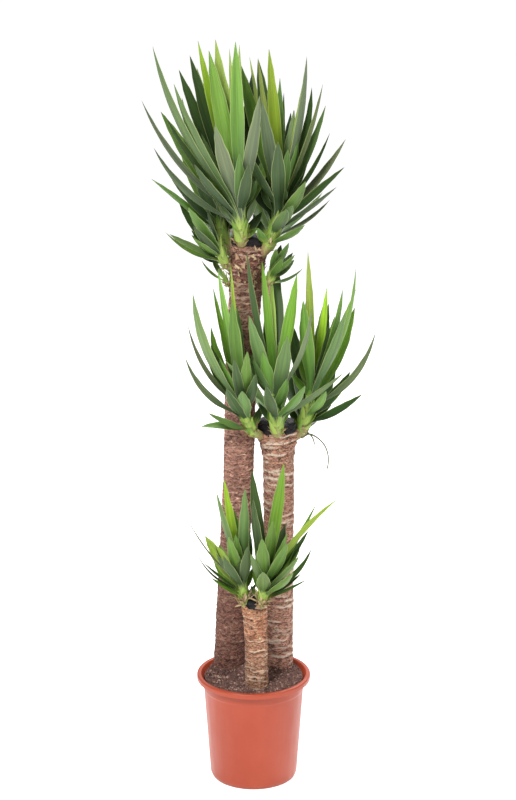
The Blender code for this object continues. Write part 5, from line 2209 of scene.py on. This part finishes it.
    def half_widths(self, blade: Blade, along: np.ndarray, clasped: float) -> np.ndarray:
        """Half widths of a leaf: its root is broad where it clasps the stem and slim where it bends out.

        Args:
            blade: the blade.
            along: share of the length at each row.
            clasped: radius that the root clasps.
        Returns:
            One half width a row.
        """
        pointed = np.array([outline(0.9) * (max(0.0, 1.0 - share) / 0.1) ** 0.85 for share in along])
        half = np.where(along > 0.9, pointed, [outline(share) for share in along]) * 0.5
        half = half * blade.width * self.slim
        joint = half[self.root_rows]
        clasp = min(self.wrap * clasped, blade.width * 0.62)
        waist = max(joint * 0.84, blade.width * 0.22)
        widths = [clasp * 0.94, clasp, waist, joint]
        half[:self.root_rows] = np.interp(self.climb, [0.0, 0.14, 0.6, 1.0], widths)
        return half


# Studio

@dataclass
class Studio:
    """Pale floor, soft light and the camera of the photo."""

    floor_colours: tuple[Colour, Colour] = ((0.84, 0.84, 0.84), (0.88, 0.88, 0.88))
    floor_half: float = 40.0
    floor_glow: float = 0.6
    world_strength: float = 0.5
    looked_at: Place = (0.0, 0.0, 0.85)
    lamps: tuple[tuple[str, Place, float, float], ...] = (
        ("key_light", (-1.3, -2.6, 3.3), 1.1, 140.0),
        ("fill_light", (2.4, -2.0, 2.0), 1.4, 30.0),
        ("back_light", (0.6, 2.2, 3.3), 1.8, 140.0),
    )

    def build(self) -> None:
        """Set the floor, the lights, the camera and how the picture is shown."""
        self.lay_floor()
        self.light()
        camera = bpy.data.cameras.new("camera")
        camera.lens = LENS_MM
        camera.sensor_width = camera.sensor_height = SENSOR_MM
        camera.sensor_fit = "VERTICAL"
        camera.clip_end = 100.0
        holder = in_scene("camera", camera)
        holder.location = EYE
        holder.rotation_euler = (math.pi / 2 - EYE_PITCH, 0.0, 0.0)
        bpy.context.scene.camera = holder
        bpy.context.scene.view_settings.view_transform = "Standard"
        bpy.context.scene.view_settings.look = "None"

    def lay_floor(self) -> None:
        """Lay a plain pale floor."""
        corners = [(-1.0, -1.0, 0.0), (1.0, -1.0, 0.0), (1.0, 1.0, 0.0), (-1.0, 1.0, 0.0)]
        floor = mesh_piece("floor", np.array(corners) * self.floor_half, [[0, 1, 2, 3]])
        desk = Surface("pale_floor")
        floor.data.materials.append(desk.finish({
            "Base Color": desk.blend(desk.noise(desk.spot(), 0.7, 2.0), *self.floor_colours),
            "Roughness": 0.6,
            "Specular IOR Level": 0.2,
            "Emission Color": WHITE,
            "Emission Strength": self.floor_glow,
        }))

    def light(self) -> None:
        """Hang the soft boxes and the pale surround."""
        world = bpy.data.worlds.new("pale_surround")
        world.use_nodes = True
        around = Desk(world.node_tree)
        around.feed(around.tree.nodes["Background"], {"Color": WHITE, "Strength": self.world_strength})
        bpy.context.scene.world = world
        for lamp in self.lamps:
            self.soft_box(*lamp)

    def soft_box(self, name: str, place: Place, size: float, power: float) -> None:
        """Hang one square light that looks at the plant.

        Args:
            name: its name.
            place: where it hangs.
            size: length of its sides.
            power: watts.
        """
        lamp = bpy.data.lights.new(name, "AREA")
        lamp.shape = "SQUARE"
        lamp.size = size
        lamp.energy = power
        holder = in_scene(name, lamp)
        holder.location = place
        holder.rotation_euler = (Vector(self.looked_at) - Vector(place)).to_track_quat("-Z", "Y").to_euler()


CANES: tuple[Cane, ...] = (
    Cane(
        "tall",
        (
            (-0.0505, 0.042, 0.125, 0.025), (-0.0522, 0.0438, 0.212, 0.03), (-0.0527, 0.044, 0.228, 0.033),
            (-0.044, 0.0452, 0.414, 0.0318), (-0.032, 0.047, 0.641, 0.0315), (-0.025, 0.0485, 0.907, 0.0318),
            (-0.0155, 0.05, 1.047, 0.0335), (-0.012, 0.05, 1.1, 0.0355), (-0.01, 0.05, 1.144, 0.0335),
        ),
        0.016, 0.0036, 0.0135, (0.0, 0.36, 0.85),
        BarkFinish(
            "bark_of_tall_cane", (0.044, 0.015, 0.012), (0.195, 0.079, 0.057), (0.33, 0.144, 0.103),
            (0.66, 0.39, 0.275), (0.8, 0.56, 0.43), (0.32, 0.125, 0.08), (1.0, 1.0, 2.5), 165.0, 0.535,
            (2.4, 2.8, 2.9),
        ),
        ((0.24, 0.08), (0.36, 0.08), (0.6, 0.8), (0.94, 1.0), (1.02, 0.8), (1.07, 0.0)),
    ),
    Cane(
        "medium",
        (
            (0.052, 0.0405, 0.125, 0.0245), (0.0528, 0.042, 0.212, 0.029), (0.0528, 0.042, 0.228, 0.0315),
            (0.0528, 0.042, 0.5, 0.0312), (0.052, 0.042, 0.69, 0.0325), (0.0495, 0.042, 0.728, 0.0375),
            (0.0475, 0.042, 0.754, 0.04),
        ),
        0.018, 0.0012, 0.0125, (0.95, 1.0, 1.0),
        BarkFinish(
            "bark_of_medium_cane", (0.066, 0.022, 0.015), (0.545, 0.246, 0.168), (0.74, 0.39, 0.27),
            (0.92, 0.68, 0.5), (1.0, 0.83, 0.66), (0.6, 0.262, 0.15), (1.0, 1.0, 3.0), 150.0, 0.54,
            (1.3, 1.32, 1.37),
        ),
        ((0.24, 1.0), (0.4, 0.6), (0.6, 0.05)),
        (0.0018, 0.0032),
    ),
    Cane(
        "short",
        (
            (0.008, -0.064, 0.135, 0.019), (0.0073, -0.0658, 0.212, 0.022), (0.0072, -0.066, 0.228, 0.024),
            (0.0055, -0.0665, 0.33, 0.0236), (0.003, -0.067, 0.395, 0.025), (0.0025, -0.067, 0.413, 0.0255),
        ),
        0.012, 0.001, 0.0105, (0.6, 0.65, 0.6),
        BarkFinish(
            "bark_of_short_cane", (0.054, 0.018, 0.011), (0.37, 0.158, 0.09), (0.55, 0.264, 0.158),
            (0.89, 0.61, 0.4), (0.96, 0.78, 0.57), (0.48, 0.204, 0.108), (1.0, 1.0, 3.0), 155.0, 0.53,
            (1.5, 1.42, 1.34),
        ),
        ((0.28, 0.0), (0.36, 1.0)),
        (0.001, 0.002),
    ),
)
TALL, MEDIUM, SHORT = CANES

# Scraps on the bark and at each shoot's foot, their length, how pale they are, and how many hang
HUSKS = (
    Husks(TALL, 150, 12, (0.006, 0.015), (0.1, 1.0), {"tall_lower_right": 7, "tall_left": 3}),
    Husks(MEDIUM, 22, 12, (0.005, 0.012), (0.1, 0.8)),
    Husks(SHORT, 4, 42, (0.009, 0.024), (0.45, 1.0)),
)


def main() -> None:
    """Build the plant piece by piece, then the studio."""
    logging.basicConfig(level=logging.INFO, format="%(message)s")
    effects = Effects()
    NurseryPot().build(effects)
    ground = [cane.line[2] for cane in CANES]
    SoilBed(tuple((x, y, radius) for x, y, _, radius in ground)).build(effects)
    wax = WaxFinish().material(effects)
    for cane in CANES:
        cane.build(effects)
        WaxCoat(cane).build(wax)
    nodes = frame["nodes"]
    woody = [nodes[f"{kind}_{cane.key}"] for kind in ("cane", "wax") for cane in CANES]
    thicket = Thicket([nodes["soil"], *woody])
    thicket.grow()
    husk = HuskFinish().material(effects)
    for husks in HUSKS:
        husks.build(husk)
    leaf = LeafFinish().material(effects)
    stem = StemFinish().material(effects)
    for shoot in SHOOTS:
        slim = SLIM_LEAVES.get(shoot.name, USUAL_SLIM)
        Shoot(shoot, thicket.lines[shoot.name], thicket.kept[shoot.name], slim).build(leaf, stem)
    Studio().build()


if __name__ == "__main__":
    main()
